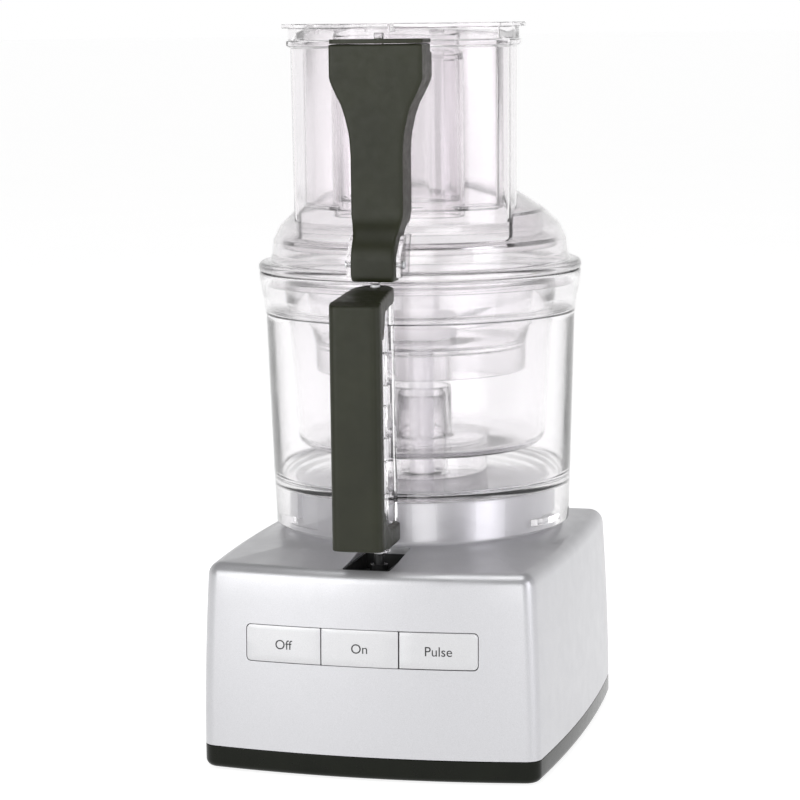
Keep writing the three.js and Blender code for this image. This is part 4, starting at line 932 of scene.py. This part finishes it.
def area_light(name, at, look, width, height, power, colour=(1, 1, 1)):
    data = bpy.data.lights.new(name, "AREA")
    data.shape = "RECTANGLE"
    data.size, data.size_y = width, height
    data.energy = power
    data.color = colour
    light = bpy.data.objects.new(name, data)
    light.location = at
    light.rotation_euler = (Vector(look) - Vector(at)).to_track_quat("-Z", "Y").to_euler()
    bpy.context.scene.collection.objects.link(light)
    return light


def plain_sheet(name, corners, glow):
    """A pale studio surface that also gives off a little light of its own."""
    mesh = bpy.data.meshes.new(name)
    mesh.from_pydata(corners, [], [(0, 1, 2, 3)])
    obj = bpy.data.objects.new(name, mesh)
    bpy.context.scene.collection.objects.link(obj)
    s = Surface(f"{name}_paper", Roughness=0.9, Specular_IOR_Level=0.1, Emission_Color=(1, 1, 1, 1),
                Emission_Strength=glow)
    s.colours(s.noise(3, 2), (0.44, 0.44, 0.44), (0.46, 0.46, 0.46))
    s.bump(s.noise(300, 2), 0.05, 0.1)
    mesh.materials.append(s.material)


ROOM_FRONT, ROOM_TOP = 0.3, 0.22   # brightness behind the camera and overhead, against 1 behind the object


def make_world():
    """A studio room: bright behind the object, greyer behind the camera and overhead."""
    world = bpy.data.worlds.new("studio")
    bpy.context.scene.world = world
    world.use_nodes = True
    tree = world.node_tree
    tree.nodes.clear()
    coord = tree.nodes.new("ShaderNodeTexCoord")
    split = tree.nodes.new("ShaderNodeSeparateXYZ")
    tree.links.new(coord.outputs["Generated"], split.inputs[0])
    ramps = []
    for axis, stops in (("Y", ((-0.3, ROOM_FRONT), (0.75, 1.0))), ("Z", ((0.1, 1.0), (0.7, ROOM_TOP)))):
        ramp = tree.nodes.new("ShaderNodeMapRange")
        (low, first), (high, second) = stops
        for key, value in (("From Min", low), ("From Max", high), ("To Min", first), ("To Max", second)):
            ramp.inputs[key].default_value = value
        tree.links.new(split.outputs[axis], ramp.inputs["Value"])
        ramps.append(ramp.outputs["Result"])
    both = tree.nodes.new("ShaderNodeMath")
    both.operation = "MULTIPLY"
    tree.links.new(ramps[0], both.inputs[0])
    tree.links.new(ramps[1], both.inputs[1])
    back = tree.nodes.new("ShaderNodeBackground")
    out = tree.nodes.new("ShaderNodeOutputWorld")
    tree.links.new(both.outputs[0], back.inputs["Strength"])
    tree.links.new(back.outputs[0], out.inputs[0])
    back.inputs["Color"].default_value = (1, 1, 1, 1)


def make_studio():
    far = 60
    plain_sheet("floor", [(-far, -far, 0), (far, -far, 0), (far, far, 0), (-far, far, 0)], 0.87)
    make_world()
    area_light("softbox_left", (-1.2, -2.3, 0.9), (0, 0, 0.22), 1.6, 1.9, 30)
    area_light("softbox_right", (2.45, -0.95, 0.9), (0, 0, 0.22), 1.2, 1.9, 21, (0.965, 0.955, 1.0))
    area_light("front_fill", (0.8, -2.9, 0.6), (0, 0, 0.2), 1.0, 1.3, 11)
    area_light("top_light", (0.1, -0.5, 2.6), (0, 0, 0.1), 1.6, 1.4, 18)


def set_render():
    scene = bpy.context.scene
    scene.view_settings.view_transform = "Standard"
    scene.view_settings.look = "None"
    cycles = scene.cycles
    cycles.max_bounces = 32
    cycles.transmission_bounces = 32
    cycles.transparent_max_bounces = 32
    cycles.glossy_bounces = 10
    cycles.diffuse_bounces = 4
    cycles.caustics_reflective = False
    cycles.caustics_refractive = True
    cycles.sample_clamp_indirect = 6.0
    cycles.blur_glossy = 0.5


# ------------------------------------------------------------------ build
make_base_housing()
make_base_plate()
make_feet_and_screws()
make_buttons()
make_interlock()
make_main_bowl()
make_midi_bowl()
make_mini_bowl()
make_handle()
make_rods()
make_drive()
make_lid()
make_arm()
make_pushers()
make_studio()
make_camera()
set_render()
